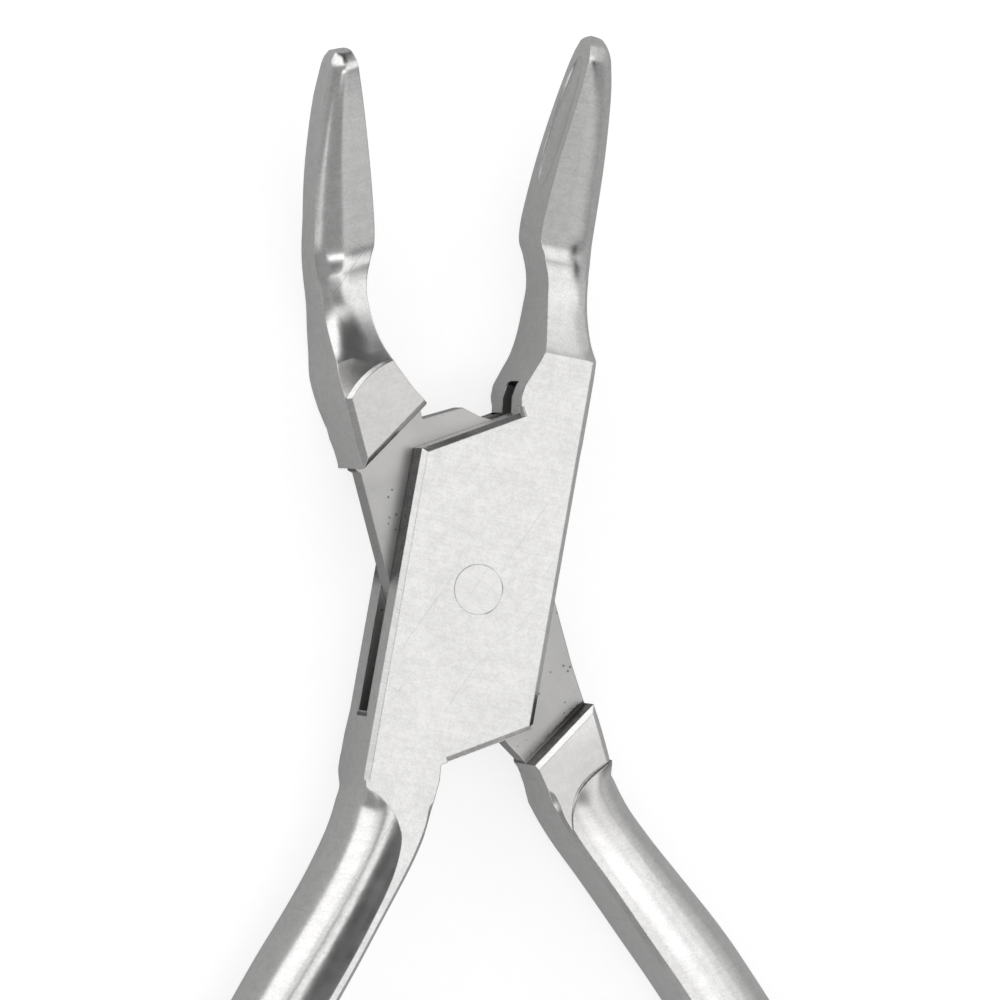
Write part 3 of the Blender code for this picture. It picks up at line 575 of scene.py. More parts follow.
def cut(target, tool, operation="DIFFERENCE"):
    """Cuts or trims a solid with another, which is used up."""
    step = target.modifiers.new("cut", "BOOLEAN")
    step.operation = operation
    step.solver = "EXACT"
    step.object = tool
    bpy.context.view_layer.update()
    mesh = bpy.data.meshes.new_from_object(target.evaluated_get(bpy.context.evaluated_depsgraph_get()))
    target.modifiers.clear()
    old = target.data
    target.data = mesh
    bpy.data.meshes.remove(old)
    bpy.data.objects.remove(tool)
    work = bmesh.new()
    work.from_mesh(mesh)
    bmesh.ops.remove_doubles(work, verts=work.verts, dist=0.004)
    bmesh.ops.dissolve_degenerate(work, edges=work.edges, dist=0.003)
    bmesh.ops.dissolve_limit(work, angle_limit=math.radians(0.04), verts=work.verts, edges=work.edges)
    work.to_mesh(mesh)
    work.free()


def plan_outline(tenon):
    """Plan limits of a half where the blank is cut: jaw's inner face, box ends, handle's inner face."""
    if tenon:
        points = [(-30.0, 13.2), (-half_width - 0.2, 13.2), (-half_width + 0.3, 13.65), (0.15, 13.65),
                  (0.15, 14.7), (0.42, 15.3)]
    else:
        points = [(-30.0, box_end - slope * 30.0), (0.9, box_end + slope * 0.9), (0.75, 15.2)]
    end = jaw_length - (0.5 if tenon else 0.0)
    points += [(inner_edge(y), y) for y in spread(16.2, end - 0.7, 80)]
    points += [(0.16, end + 0.1), (0.3, end + 0.3), (0.5, end + 0.42), (0.95, end + 0.48),
               (1.45, end + 0.16), (2.2, end - 0.65), (3.2, end - 2.2), (30.0, end - 2.2)]
    if tenon:
        web = half_width - 0.3
        points += [(30.0, 34.85), (web, 10.9), (web, -slot_floor + 1.62), (0.7, -slot_floor + 0.62),
                   (0.0, -12.6), (-0.8, -14.0), (-1.1, -14.8), (-1.25, -15.6), (-1.55, -17.5)]
    else:
        points += [(30.0, -box_end + slope * 30.0), (-0.5, -box_end - slope * 0.5),
                   (-0.4, -15.0), (-0.6, -17.0)]
    for y in spread(-19.0, -105.5, 120):
        centre, across = handle_frame(y, tenon)
        spot = centre + across * handle_width(y, tenon) / 2
        points.append((spot.x, spot.y))
    points += [(points[-1][0], -112.0), (-30.0, -112.0)]
    return points


def flats_outline(tenon, back=False):
    """Plan limits of a milled flat, with the curve that the cutter leaves beside the handle's dome."""
    reach = 14.6 if back else 19.6
    points = [(-9.0, reach), (12.0, reach), (12.0, -26.0 if not tenon else -15.0)]
    if tenon:
        s_curve = ((2.0, -27.4), (-3.9, -26.2), (-3.45, -24.1), (-2.76, -22.25), (-2.5, -20.8),
                   (-2.6, -19.5), (-2.92, -18.5), (-3.66, -17.35), (-4.92, -16.43), (-6.6, -15.75),
                   (-9.0, -14.8))
    else:
        s_curve = ((-4.0, -40.5), (-8.6, -40.5), (-7.9, -37.6), (-6.8, -34.7), (-5.8, -32.1), (-5.0, -30.0),
                   (-4.3, -28.0), (-3.55, -25.64), (-3.12, -24.2), (-2.75, -22.55), (-2.62, -21.05),
                   (-2.68, -19.9), (-3.01, -19.06), (-3.84, -17.91))
        s_curve += (((-5.0, -16.0), (-6.3, -14.3), (-9.0, -12.4)) if back else
                    ((-5.08, -16.88), (-6.14, -16.43), (-6.65, -15.8), (-9.0, -15.6)))
    curve = [Vector(p) for p in s_curve]
    for k in range(1, len(curve) - 2):
        a, b, c, d = curve[k - 1:k + 3]
        for t in (0.0, 0.34, 0.67):
            points.append(tuple(0.5 * (2 * b + (c - a) * t + (2 * a - 5 * b + 4 * c - d) * t * t
                                       + (3 * b - a - 3 * c + d) * t ** 3)))
    return points + [tuple(curve[-2]), tuple(curve[-1])]


def cylinder(name, radius, low, high, matrix=Matrix.Identity(4), segments=96):
    """Round bar between two heights of a frame."""
    work = bmesh.new()
    bmesh.ops.create_cone(work, cap_ends=True, segments=segments, radius1=radius, radius2=radius,
                          depth=high - low, matrix=Matrix.Translation((0, 0, (low + high) / 2)))
    bmesh.ops.transform(work, matrix=matrix, verts=work.verts)
    return to_object(name, work)


def bevel_edge(body, start, end):
    """Bevels one straight edge of both flats, drawn with the metal on the right hand."""
    start, end = Vector(start), Vector(end)
    out = Vector((start.y - end.y, end.x - start.x)).normalized()
    back_low, back_high, fade, feather = -12.6, 13.6, 1.8, 0.02
    for side in (1, -1):
        first, last = start, end
        if side < 0:
            first, last = (Vector((spot.x, min(max(spot.y, back_low), back_high))) for spot in (start, end))
        run = (last - first).normalized() * min(fade, (last - first).length / 3)
        rings = []
        for spot, deep in ((first, feather), (first + run, bevel_width),
                           (last - run, bevel_width), (last, feather)):
            deep = bevel_width if side > 0 else deep
            inner, outer = spot - out * (deep + 0.3), spot + out * 0.4
            rings.append([Vector((inner.x, inner.y, side * (half_box + 0.3))),
                          Vector((outer.x, outer.y, side * (half_box - deep - 0.4))),
                          Vector((outer.x, outer.y, side * (half_box + 0.3)))])
        cut(body, skin("bevel", rings))


def round_shoulder(body, centre, radius, fall):
    """Turns the flat's outer corner at the jaw root, falling away outside a circle."""
    rings = []
    for k in range(37):
        way = Matrix.Rotation(math.radians(-24 + 132 * k / 36), 2) @ Vector((1, 0))
        rings.append([Vector((*(centre + way * reach), z)) for reach, z in (
            (radius, half_box), (radius + 0.25, half_box - fall * 0.7),
            (radius + 0.7, half_box - fall * 1.1),
            (radius + 1.5, half_box - fall * 1.75), (radius + 5.0, half_box - fall * 4.2),
            (radius + 5.0, half_box + 2.0), (radius - 1.0, half_box + 2.0))])
    cut(body, skin("round", rings))


def screw_seat(tenon):
    """Seat of the spring screw on the handle's inner face: point, way up the handle, way out."""
    y = -screw_place
    up = Vector((handle_line(y + 0.5, tenon) - handle_line(y - 0.5, tenon), 1.0, 0)).normalized()
    out = Vector((up.y, -up.x, 0))
    return Vector((handle_line(y, tenon), y, 0)) + out * handle_width(y, tenon) / 2, up, out


def machined_half(name, tenon):
    """A blank with its plan, flats, joint, bore, screw hole and cup cut."""
    body = blank(name, tenon)
    cut(body, prism("plan", plan_outline(tenon), -20.0, 30.0), "INTERSECT")
    cut(body, prism("front_flat", flats_outline(tenon), half_box, 30.0))
    cut(body, prism("back_flat", flats_outline(tenon, True), -30.0, -half_box))
    if tenon:
        cheeks = [(11.0, shoulder_end - slope * 11.0), (0.1, shoulder_end - slope * 0.1),
                  (-0.9, shoulder_end + 6.0), (-11.0, shoulder_end + 6.0),
                  (-11.0, -shoulder_end + slope * 11.0), (-0.8, -shoulder_end + slope * 0.8),
                  (0.3, -shoulder_end - 6.0), (11.0, -shoulder_end - 6.0)]
        cut(body, prism("front_cheek", cheeks, half_web, 20.0))
        cut(body, prism("back_cheek", cheeks, -20.0, -half_web))
        rings = []
        for y in spread(-12.0, -18.6, 12):
            depth = 0.85 * cubic(((-18.5, 0.0), (-16.5, 0.5), (-14.4, 1.0)), y)
            inner = cubic(((-18.6, -1.75), (-15.6, -1.25), (-14.8, -1.1), (-12.6, 0.0)), y)
            rings.append([Vector(p) for p in ((inner - depth, y, -6.0), (inner - depth, y, -half_box),
                                              (inner + 0.4, y, -0.9), (inner + 4.0, y, -6.0))])
        cut(body, skin("root_relief", rings))
        round_shoulder(body, Vector((1.24, 12.3)), 6.55, 0.42)
        edges = (((half_width, 17.0), (half_width, 11.0)), ((6.6, 11.2), (0.2, 14.83)),
                 ((-6.95, -15.6), (-6.82, -10.6)), ((-7.0, -10.97), (0.1, -15.0)))
    else:
        slot = [(-9.0, -slot_floor + 1.5), (-6.6, -slot_floor + 1.0), (-5.6, -slot_floor + 0.52),
                (-1.1, -slot_floor), (-0.5, -15.6), (-0.5, -22.0), (9.0, -22.0), (9.0, 13.8), (7.0, 14.3),
                (0.7, 16.7), (-2.0, 17.4), (-9.0, 17.4)]
        cut(body, prism("slot", slot, -half_slot, half_slot))
        edges = (((-half_width, -15.9), (-half_width, 10.2)), ((-6.7, 9.7), (1.2, 14.17)),
                 ((0.0, -13.5), (6.7, -9.7)), ((half_width, 19.8), (half_width, -10.2)))
    for start, end in edges:
        bevel_edge(body, start, end)
    cut(body, cylinder("pin_bore", bore_radius, -9.0, 9.0))
    seat, up, out = screw_seat(tenon)
    turn = Matrix((up, -up.cross(out), out)).transposed().to_4x4()
    cut(body, cylinder("screw_hole", screw_bore, -3.6, 2.0, Matrix.Translation(seat) @ turn, 48))
    y = (jaw_length - cup_margin) - cup_sizes[1] * math.cos(jaw_bend)
    work = bmesh.new()
    bmesh.ops.create_uvsphere(work, u_segments=48, v_segments=32, radius=1.0)
    angle = math.atan2(jaw_middle(y + 0.1) - jaw_middle(y - 0.1), 0.2)
    bmesh.ops.transform(work, verts=work.verts, matrix=Matrix.Translation((inner_edge(y), y, jaw_middle(y)))
                        @ Matrix.Rotation(angle, 4, "X") @ Matrix.Diagonal((*cup_sizes, 1.0)))
    cut(body, to_object("cup", work))
    return body


def finish_half(body, tenon):
    """Turns a half to the rest pose, takes it to metres and shades it with flat flats."""
    mesh = body.data
    if tenon:
        mesh.transform(Matrix.Diagonal((-1.0, 1.0, 1.0, 1.0)))
        mesh.flip_normals()
    turn = math.radians(half_open if tenon else -half_open)
    mesh.transform(Matrix.Translation((0, 0, middle_height)) @ Matrix.Rotation(turn, 4, "Z")
                   @ Matrix.Scale(0.001, 4))
    mesh.shade_smooth()
    mesh.set_sharp_from_angle(angle=math.radians(24))
    flat_first = body.modifiers.new("flats_stay_flat", "WEIGHTED_NORMAL")
    flat_first.keep_sharp = True
    flat_first.weight = 90
    return body


def new_group(name, inputs, outputs):
    """Empty node group with named sockets: (name, socket kind, starting value)."""
    group = bpy.data.node_groups.new(name, "ShaderNodeTree")
    for label, kind, value in inputs:
        socket = group.interface.new_socket(label, in_out="INPUT", socket_type="NodeSocket" + kind)
        if value is not None:
            socket.default_value = value
    for label, kind in outputs:
        group.interface.new_socket(label, in_out="OUTPUT", socket_type="NodeSocket" + kind)
    return group, group.nodes.new("NodeGroupInput").outputs, group.nodes.new("NodeGroupOutput").inputs


# The finish of every steel piece, with the shade painted into its joint, is mixed from four groups, each
# built once.
# Satin grain: fine glass-bead speckle, slow clouding, and striae left across the length by the belt.
satin_grain, given, out = new_group(
    "satin_grain",
    (("Vector", "Vector", None), ("Turn", "Float", 0.0), ("Striae", "Float", 0.3),
     ("Fineness", "Float", 1.0)),
    (("Tone", "Float"), ("Cloud", "Float"), ("Height", "Float")))
tree = satin_grain
turned_to = node(tree, "ShaderNodeCombineXYZ", {"Z": given["Turn"]}).outputs[0]
along = node(tree, "ShaderNodeMapping", {"Vector": given["Vector"], "Rotation": turned_to}).outputs[0]
fine = node(tree, "ShaderNodeVectorMath", {0: along, "Scale": given["Fineness"]},
            operation="SCALE").outputs[0]
speckle = node(tree, "ShaderNodeTexNoise",
               {"Vector": fine, "Scale": 5200.0, "Detail": 3.0, "Roughness": 0.75}).outputs["Fac"]
mottle = node(tree, "ShaderNodeTexNoise",
              {"Vector": along, "Scale": 1300.0, "Detail": 3.0, "Roughness": 0.6}).outputs["Fac"]
drawn_out = node(tree, "ShaderNodeMapping", {"Vector": fine, "Scale": (260.0, 4200.0, 900.0)}).outputs[0]
striae = node(tree, "ShaderNodeTexNoise", {"Vector": drawn_out, "Scale": 1.0, "Detail": 2.0}).outputs["Fac"]
cloud = node(tree, "ShaderNodeTexNoise", {"Vector": along, "Scale": 260.0, "Detail": 3.0}).outputs["Fac"]
grain = node(tree, "ShaderNodeMix", {0: given["Striae"], 2: speckle, 3: striae}).outputs[0]
tone = sums(tree, "ADD", sums(tree, "MULTIPLY", grain, 0.62), sums(tree, "MULTIPLY", mottle, 0.38))
tree.links.new(between(tree, tone, 0.34, 0.66), out["Tone"])
tree.links.new(between(tree, cloud, 0.3, 0.7), out["Cloud"])
tree.links.new(grain, out["Height"])

# Rubbed edges: where edges are broken by polishing, with their rounded normal.
rubbed_edges, given, out = new_group(
    "rubbed_edges", (("Vector", "Vector", None), ("Radius", "Float", 0.0001)),
    (("Edge", "Float"), ("Normal", "Vector")))
tree = rubbed_edges
rounded = node(tree, "ShaderNodeBevel", {"Radius": given["Radius"]}, samples=6).outputs[0]
true_normal = node(tree, "ShaderNodeNewGeometry").outputs["Normal"]
off = node(tree, "ShaderNodeVectorMath", {0: rounded, 1: true_normal},
           operation="DOT_PRODUCT").outputs["Value"]
broken = node(tree, "ShaderNodeTexNoise",
              {"Vector": given["Vector"], "Scale": 700.0, "Detail": 3.0}).outputs["Fac"]
edge = between(tree, off, 0.995, 0.9)
tree.links.new(sums(tree, "MULTIPLY", edge, between(tree, broken, 0.25, 0.6, 0.45, 1.0)), out["Edge"])
tree.links.new(rounded, out["Normal"])

# Handling marks: a few hair scratches in two directions.
handling_marks, given, out = new_group(
    "handling_marks", (("Vector", "Vector", None), ("Amount", "Float", 0.5)), (("Mark", "Float"),))
tree = handling_marks
marks = []
for turn, scale, threshold in ((0.5, (110.0, 5200.0, 110.0), 0.745), (-0.9, (90.0, 4300.0, 90.0), 0.75)):
    lay = node(tree, "ShaderNodeMapping", {"Vector": given["Vector"], "Rotation": (0, 0, turn)}).outputs[0]
    thin = node(tree, "ShaderNodeMapping", {"Vector": lay, "Scale": scale}).outputs[0]
    hair = node(tree, "ShaderNodeTexNoise", {"Vector": thin, "Scale": 1.0, "Detail": 1.0}).outputs["Fac"]
    marks.append(between(tree, hair, threshold - 0.03, threshold + 0.01))
tree.links.new(sums(tree, "MULTIPLY", sums(tree, "MAXIMUM", *marks), given["Amount"]), out["Mark"])

# Joint shade and pits: the web and slot walls inside the joint painted greyer, partly a greyer finish and
# partly painted shade of the recess, pitted, with painted shade held in the inside corners at both ends.
joint_shade_and_pits, given, out = new_group(
    "joint_shade_and_pits",
    (("Vector", "Vector", None), ("Way", "Vector", (0, 1, 0)), ("Low", "Float", -0.011),
     ("High", "Float", 0.016), ("Half height", "Float", 0.00135)),
    (("Inside", "Float"), ("Pits", "Float"), ("Corner shade", "Float")))
tree = joint_shade_and_pits
parts = node(tree, "ShaderNodeSeparateXYZ", {0: given["Vector"]}).outputs
height = sums(tree, "ABSOLUTE", sums(tree, "SUBTRACT", parts["Z"], middle_height))
run = node(tree, "ShaderNodeVectorMath", {0: given["Vector"], 1: given["Way"]},
           operation="DOT_PRODUCT").outputs["Value"]
low = sums(tree, "LESS_THAN", height, given["Half height"])
reached = sums(tree, "MULTIPLY", sums(tree, "GREATER_THAN", run, given["Low"]),
               sums(tree, "LESS_THAN", run, given["High"]))
# Inside marks the web and slot walls of the joint, which the steel paints greyer: partly a greyer finish,
# partly painted shade of the recess.
inside = sums(tree, "MULTIPLY", low, reached)
cells = node(tree, "ShaderNodeTexVoronoi", {"Vector": given["Vector"], "Scale": 1500.0},
             feature="F1").outputs["Distance"]
patch = node(tree, "ShaderNodeTexNoise",
             {"Vector": given["Vector"], "Scale": 420.0, "Detail": 2.0}).outputs["Fac"]
pits = sums(tree, "MULTIPLY", between(tree, cells, 0.2, 0.1), between(tree, patch, 0.44, 0.52))
tree.links.new(inside, out["Inside"])
tree.links.new(sums(tree, "MULTIPLY", pits, inside), out["Pits"])
# Painted shade: darkening held against both ends of the joint, in its inside corners, broken up by noise.
corner_shade_noise = node(tree, "ShaderNodeTexNoise",
              {"Vector": given["Vector"], "Scale": 2200.0, "Detail": 4.0}).outputs["Fac"]
to_end = sums(tree, "MINIMUM", sums(tree, "SUBTRACT", run, given["Low"]),
              sums(tree, "SUBTRACT", given["High"], run))
held = sums(tree, "ADD", between(tree, to_end, 0.00045, 0.0, 0.0, 0.62),
            between(tree, to_end, 0.0016, 0.0, 0.0, 0.2))
corner_shade = between(tree, sums(tree, "ADD", corner_shade_noise, held), 0.75, 0.95)
tree.links.new(sums(tree, "MULTIPLY", corner_shade, inside), out["Corner shade"])


def steel(name, pale, dull, rough, turn=0.0, striae=0.3, edge=0.00012, joint=None, tones_and_painted_shade=()):
    """Satin stainless steel, between a pale and a dull colour.

    joint is the way along the joint with its low and high ends, where the recess and its inside corners get
    painted shade and pits;
    tones_and_painted_shade is a row of faces with a tone of their own, on the halves mostly painted shade
    and painted dark reflections:
    (way that the face looks, way that it is measured along, low, high, softness, tone).
    """
    made = bpy.data.materials.new(name)
    made.use_nodes = True
    tree = made.node_tree
    shader = tree.nodes["Principled BSDF"]
    shader.inputs["Metallic"].default_value = 1.0
    place = node(tree, "ShaderNodeTexCoord").outputs["Object"]
    grain = node(tree, "ShaderNodeGroup", node_tree=satin_grain)
    wear = node(tree, "ShaderNodeGroup", node_tree=rubbed_edges)
    marks = node(tree, "ShaderNodeGroup", node_tree=handling_marks)
    for used in (grain, wear, marks):
        tree.links.new(place, used.inputs["Vector"])
    grain.inputs["Turn"].default_value = turn
    grain.inputs["Striae"].default_value = striae
    wear.inputs["Radius"].default_value = edge
    colour = node(tree, "ShaderNodeMix", {0: grain.outputs["Tone"], 6: (*dull, 1), 7: (*pale, 1)},
                  data_type="RGBA").outputs[2]
    roughness = between(tree, grain.outputs["Cloud"], 0.0, 1.0, rough - 0.02, rough + 0.025)
    roughness = sums(tree, "SUBTRACT", roughness, sums(tree, "MULTIPLY", wear.outputs["Edge"], 0.08))
    height = sums(tree, "SUBTRACT", sums(tree, "MULTIPLY", grain.outputs["Height"], 0.5),
                  sums(tree, "MULTIPLY", marks.outputs["Mark"], 0.6))
    worn = tuple(min(v * 1.12, 0.95) for v in pale)
    colour = node(tree, "ShaderNodeMix", {0: sums(tree, "MULTIPLY", wear.outputs["Edge"], 0.7), 6: colour,
                                          7: (*worn, 1)}, data_type="RGBA").outputs[2]
    colour = node(tree, "ShaderNodeMix", {0: sums(tree, "MULTIPLY", marks.outputs["Mark"], 0.35), 6: colour,
                                          7: (*(v * 0.6 for v in dull), 1)}, data_type="RGBA").outputs[2]
    if joint:
        joint_shade = node(tree, "ShaderNodeGroup", node_tree=joint_shade_and_pits)
        tree.links.new(place, joint_shade.inputs["Vector"])
        for plug, value in zip(("Way", "Low", "High"), joint):
            joint_shade.inputs[plug].default_value = value
        # Greyer web and slot walls, partly a finish and partly painted shade of the recess; dark pits;
        # painted shade in the inside corners.
        for share, tint in ((sums(tree, "MULTIPLY", joint_shade.outputs["Inside"], 0.75), (0.42, 0.415, 0.41, 1)),
                            (sums(tree, "MULTIPLY", joint_shade.outputs["Pits"], 0.7), (0.1, 0.095, 0.09, 1)),
                            (sums(tree, "MULTIPLY", joint_shade.outputs["Corner shade"], 0.85), (0.05, 0.045, 0.04, 1))):
            colour = node(tree, "ShaderNodeMix", {0: share, 6: colour, 7: tint}, data_type="RGBA").outputs[2]
        roughness = sums(tree, "ADD", roughness, sums(tree, "MULTIPLY", joint_shade.outputs["Inside"], 0.12))
        height = sums(tree, "SUBTRACT", height, joint_shade.outputs["Pits"])
    # Faces with a tone of their own; on the two halves most are painted shade or painted dark reflections.
    for way, length, low, high, soft, tint in tones_and_painted_shade:
        normal = node(tree, "ShaderNodeNewGeometry").outputs["Normal"]
        facing = node(tree, "ShaderNodeVectorMath", {0: normal, 1: way},
                      operation="DOT_PRODUCT").outputs["Value"]
        run = node(tree, "ShaderNodeVectorMath", {0: place, 1: length},
                   operation="DOT_PRODUCT").outputs["Value"]
        share = sums(tree, "MULTIPLY", between(tree, facing, 0.9, 0.98),
                     sums(tree, "MULTIPLY", between(tree, run, low - soft, low + soft),
                          between(tree, run, high + soft, high - soft)))
        share = sums(tree, "MULTIPLY", share, between(tree, grain.outputs["Tone"], 0.0, 1.0, 0.95, 0.75))
        colour = node(tree, "ShaderNodeMix", {0: share, 6: colour, 7: (tint, tint * 0.97, tint * 0.95, 1)},
                      data_type="RGBA").outputs[2]
    bump = node(tree, "ShaderNodeBump", {"Height": height, "Normal": wear.outputs["Normal"], "Strength": 0.3,
                                         "Distance": 0.00001}).outputs[0]
    for output, plug in ((colour, "Base Color"), (roughness, "Roughness"), (bump, "Normal")):
        tree.links.new(output, shader.inputs[plug])
    return made


def wear_finish(piece, material, slot, body, *nodes):
    """Gives a finished piece its material and body, and hides the CAD nodes it stands for; slot is not used.
    """
    piece.data.materials.clear()
    piece.data.materials.append(material)
    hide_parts(*nodes)
    if body:
        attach(piece, body)


def rested(point, tenon):
    """Point or direction of a half's closed drawing, turned to the rest pose."""
    turn = math.radians(half_open if tenon else -half_open)
    x, y, z = point
    return Matrix.Rotation(turn, 3, "Z") @ Vector((-x if tenon else x, y, z))


box_piece = finish_half(machined_half("box_half_forging", False), False)
box_outward = rested((-1, 0, 0), False)
up_the_box = rested((0, 1, 0), False)
# The box's left wall beside the web is painted near black as shade, and the end face of the jaw tip is
# painted darker as a dark reflection.
box_steel = steel("satin_steel_of_box_half", (0.8, 0.795, 0.79), (0.675, 0.67, 0.665), 0.23,
                  turn=math.radians(half_open), joint=(up_the_box, -0.0111, 0.0165),
                  tones_and_painted_shade=((box_outward, up_the_box, -0.0006, 0.0105, 0.0007, 0.03),
                         (up_the_box, up_the_box, 0.0415, 0.05, 0.0002, 0.2)))
wear_finish(box_piece, box_steel, "box_half_steel", "box_body", "box_half")


# Tenon half, the second forging in the same steel. Its thin web passes through the slot of the box half,
# its shoulders stop against the box, and its milled flats are left a little greyer than the box's.
tenon_piece = finish_half(machined_half("tenon_half_forging", True), True)
shoulder_way = rested((math.sin(joint_tilt), math.cos(joint_tilt), 0), True)
up_the_tenon = rested((0, 1, 0), True)
flat_way = Vector((0, 0, 1))
# Painted shadow on the tenon's shoulder face and a painted dark reflection on the end face of the jaw tip;
# the faces looking up between two reaches of the tenon are toned greyer.
tenon_steel = steel("satin_steel_of_tenon_half", (0.81, 0.805, 0.8), (0.69, 0.685, 0.68), 0.23,
                    turn=math.radians(-half_open), joint=(shoulder_way, -0.013, 0.013),
                    tones_and_painted_shade=((shoulder_way, up_the_tenon, -0.03, 0.0, 0.0003, 0.05),
                           (flat_way, up_the_tenon, 0.01, 0.0193, 0.0006, 0.56),
                           (flat_way, up_the_tenon, -0.0205, -0.013, 0.0015, 0.61),
                           (up_the_tenon, up_the_tenon, 0.0415, 0.05, 0.0002, 0.12)))
wear_finish(tenon_piece, tenon_steel, "tenon_half_steel", "tenon_body", "tenon_half")


# Joint pin: turned steel, driven through the box and the web and riveted, then ground flush on both sides,
# so that only a faint ring shows on the flats.
pin_radius = 1.926
pin_edge = 0.015
middle = middle_height * 1000


def turned_piece(name, profile, matrix, segments=96):
    """Turned piece: (radius, height) points spun round the Z axis of a frame, in millimetres."""
    work = bmesh.new()
    verts = [work.verts.new((radius, 0, height)) for radius, height in profile]
    for low, high in zip(verts, verts[1:]):
        work.edges.new((low, high))
    bmesh.ops.spin(work, geom=list(work.verts) + list(work.edges), axis=(0, 0, 1), cent=(0, 0, 0),
                   angle=math.tau, steps=segments, use_merge=True)
    bmesh.ops.remove_doubles(work, verts=work.verts, dist=0.0005)
    bmesh.ops.recalc_face_normals(work, faces=work.faces)
    bmesh.ops.transform(work, verts=work.verts, matrix=matrix)
    return to_object(name, work)


def settle(piece, angle=30.0):
    """Takes a piece drawn in millimetres to metres and shades it."""
    piece.data.transform(Matrix.Scale(0.001, 4))
    piece.data.shade_smooth()
    piece.data.set_sharp_from_angle(angle=math.radians(angle))
    return piece


pin_profile = [(0, -half_box), (pin_radius - pin_edge, -half_box), (pin_radius, -half_box + pin_edge),
               (pin_radius, half_box - pin_edge), (pin_radius - pin_edge, half_box), (0, half_box)]
pin_piece = settle(turned_piece("flush_pin", pin_profile, Matrix.Translation((0, 0, middle))))
pin_steel = steel("ground_pin_steel", (0.79, 0.785, 0.78), (0.7, 0.695, 0.69), 0.24, turn=0.6, striae=0.5,
                  edge=0.00003)
wear_finish(pin_piece, pin_steel, "pin_steel", "box_body", "joint_pin")


# Leaf springs: tapered strips of hardened spring steel, screwed to the handles' inner faces and bowed
# towards each other; the right leaf's tongue with its cross head sits in the left leaf's window.
spring_length = 37.0
spring_thick = 0.8
spring_wide = 5.0
spring_tip = 4.0
spring_pad = 9.0
seat_gap = 0.25
tongue_wide = 1.7


def spring_seat(tenon):
    """Seat of a leaf on a handle in the rest pose: point, way up the handle, way out of the face."""
    return [rested(part, tenon) for part in screw_seat(tenon)]


def spring_lift(tenon):
    """Point where a leaf leaves its handle."""
    seat, up, out = spring_seat(tenon)
    return seat + up * spring_pad * 0.3 + out * (seat_gap + spring_thick / 2)


left_lift = spring_lift(False)
right_lift = spring_lift(True)
span = right_lift - left_lift
meeting = (left_lift + right_lift) / 2 + Vector((-span.y, span.x, 0)).normalized() * math.sqrt(
    spring_length ** 2 - (span.length / 2) ** 2)


def spring_line(tenon):
    """Middle line of a leaf: pad on the handle, bow, and straight end past the meeting point."""
    seat, up, out = spring_seat(tenon)
    lift = spring_lift(tenon)
    base = seat + out * (seat_gap + spring_thick / 2)
    points = [base - up * spring_pad * share for share in (0.5, 0.492, 0.476, 0.44, 0.39, 0.33, 0.24, 0.15)]
    aim = (meeting - (lift + up * 7.0)).normalized()
    one = lift + up * 8.0
    two = meeting - aim * 16.0
    for t in spread(0.0, 1.0, 44):
        s = 1 - t
        points.append(lift * s ** 3 + one * 3 * s * s * t + two * 3 * s * t * t + meeting * t ** 3)
    points += [meeting + aim * step for step in (0.8, 1.6, 2.35, 2.45, 2.55, 2.8, 3.1, 3.4, 3.58, 3.7)]
    return points


def leaf_piece(name, tenon):
    """One leaf with its rounded corners: the right one necks to a tongue, the left one has a window."""
    line = spring_line(tenon)
    last = len(line) - 1
    pad_end = (0.34, 0.52, 0.68, 0.84, 0.94, 0.99)
    tip_end = (0.97, 0.9, 0.78)
    thick = spring_thick / 2
    corner = 0.18
    rings = []
    for k, spot in enumerate(line):
        ahead = (line[min(k + 1, last)] - line[max(k - 1, 0)]).normalized()
        across = Vector((-ahead.y, ahead.x, 0))
        half = mix(spring_wide, spring_tip, k / last) / 2
        if k < len(pad_end):
            half *= pad_end[k]
        from_meeting = (spot - meeting).dot((line[-1] - line[-4]).normalized())
        if tenon and k > last - 30 and -9.0 < from_meeting < 2.4:
            half = tongue_wide / 2
        if k > last - len(tip_end):
            half *= tip_end[k - last + len(tip_end) - 1]
        ring = []
        for u, v in ((1, 1), (-1, 1), (-1, -1), (1, -1)):
            for step in range(4):
                angle = math.radians(90 * step / 3)
                start = math.atan2(v, u) - math.radians(45)
                ring.append((u * (thick - corner) + corner * math.cos(start + angle),
                             v * (half - corner) + corner * math.sin(start + angle)))
        rings.append([spot + across * a + Vector((0, 0, middle + b)) for a, b in ring])
    body = skin(name, rings)
    if not tenon:
        aim = (line[-1] - line[-4]).normalized()
        other = spring_line(True)
        crossing = aim.angle(other[-1] - other[-4])
        long = spring_thick * (1 + abs(math.cos(crossing))) / math.sin(crossing) + 4.6
        high = tongue_wide + 0.6
        work = bmesh.new()
        bmesh.ops.create_cube(work, size=1.0)
        bmesh.ops.scale(work, vec=(long, 3.0, high), verts=work.verts)
        ends = [e for e in work.edges if abs(e.verts[0].co.x - e.verts[1].co.x) < 0.01
                and abs(e.verts[0].co.z - e.verts[1].co.z) < 0.01]
        bmesh.ops.bevel(work, geom=ends, offset=0.45, segments=5, profile=0.5, affect="EDGES", material=-1)
        spot = meeting - aim * 0.4 + Vector((0, 0, middle))
        bmesh.ops.transform(work, verts=work.verts, matrix=Matrix.Translation(spot)
                            @ Matrix.Rotation(math.atan2(aim.y, aim.x), 4, "Z"))
        cut(body, to_object("window", work))
    return body


def screw_frame(tenon):
    """Frame of a spring screw: origin on the handle face, Z out of the face."""
    seat, up, out = spring_seat(tenon)
    turn = Matrix((up, -up.cross(out), out)).transposed().to_4x4()
    return Matrix.Translation(seat + Vector((0, 0, middle))) @ turn


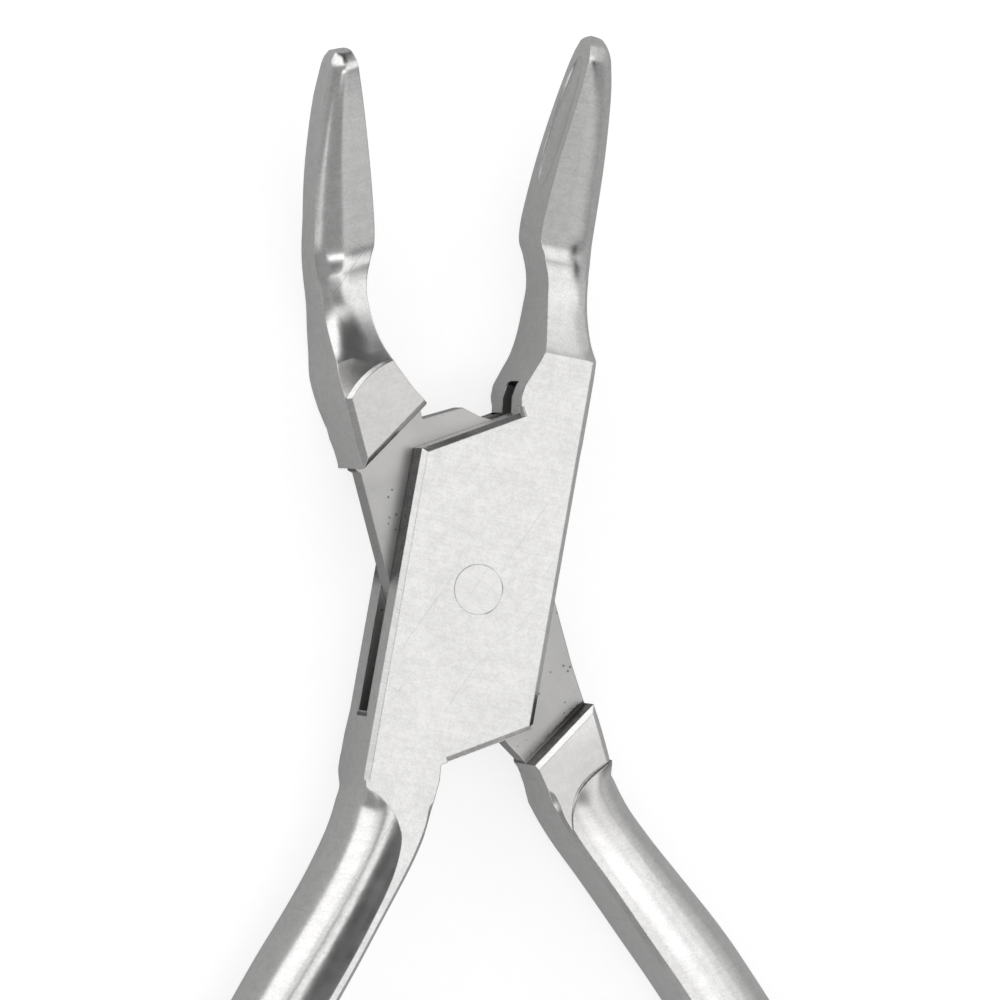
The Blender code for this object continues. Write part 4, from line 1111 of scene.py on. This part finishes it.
left_leaf = leaf_piece("left_leaf", False)
right_leaf = leaf_piece("right_leaf", True)
for leaf, tenon, lift in ((left_leaf, False, left_lift), (right_leaf, True, right_lift)):
    cut(leaf, cylinder("leaf_hole", 1.3, -3.0, 3.0, screw_frame(tenon), 48))
    settle(leaf)
    side = "right" if tenon else "left"
    leaf_steel = steel(side + "_spring_steel_strip", (0.74, 0.735, 0.735), (0.62, 0.615, 0.615), 0.26,
                       turn=1.2, striae=0.6, edge=0.00008)
    wear_finish(leaf, leaf_steel, side + "_spring_steel", None, side + "_leaf_spring")
    up = spring_seat(tenon)[1]
    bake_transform(leaf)


# Spring screws: turned from stainless bar, with a low domed head and one slot, and threaded into the
# handles. Each one holds its leaf's pad against the handle's inner face.
screw_head = 4.4
screw_shank = 2.2
under_head = seat_gap * 2 + spring_thick
head_top = under_head + 1.2
for side, tenon in (("left", False), ("right", True)):
    profile = [(0.0, -3.4), (0.85, -3.4), (screw_shank / 2, -3.15)]
    profile += [(screw_shank / 2 - 0.09 * (k % 2), -3.0 + 0.22 * k) for k in range(17)]
    profile += [(screw_shank / 2, under_head - 0.05), (screw_shank / 2 + 0.05, under_head),
                (screw_head / 2 - 0.08, under_head), (screw_head / 2, under_head + 0.08)]
    for k in range(9):
        angle = math.radians(90 * k / 8)
        profile.append((screw_head / 2 * math.cos(angle) ** 0.75 if k < 8 else 0.0,
                        under_head + 0.38 + 0.82 * math.sin(angle)))
    screw = turned_piece(side + "_slotted_screw", profile, screw_frame(tenon), 64)
    work = bmesh.new()
    bmesh.ops.create_cube(work, size=1.0)
    bmesh.ops.scale(work, vec=(screw_head + 1.0, 0.7, 0.9), verts=work.verts)
    bmesh.ops.transform(work, verts=work.verts,
                        matrix=screw_frame(tenon) @ Matrix.Translation((0, 0, head_top)))
    cut(screw, to_object("screw_slot", work))
    settle(screw, 35.0)
    screw_steel = steel(side + "_screw_steel", (0.77, 0.765, 0.76), (0.66, 0.655, 0.65), 0.24, turn=0.3,
                        striae=0.5, edge=0.0001)
    wear_finish(screw, screw_steel, side + "_screw_steel", "tenon_body" if tenon else "box_body",
                side + "_spring_screw")
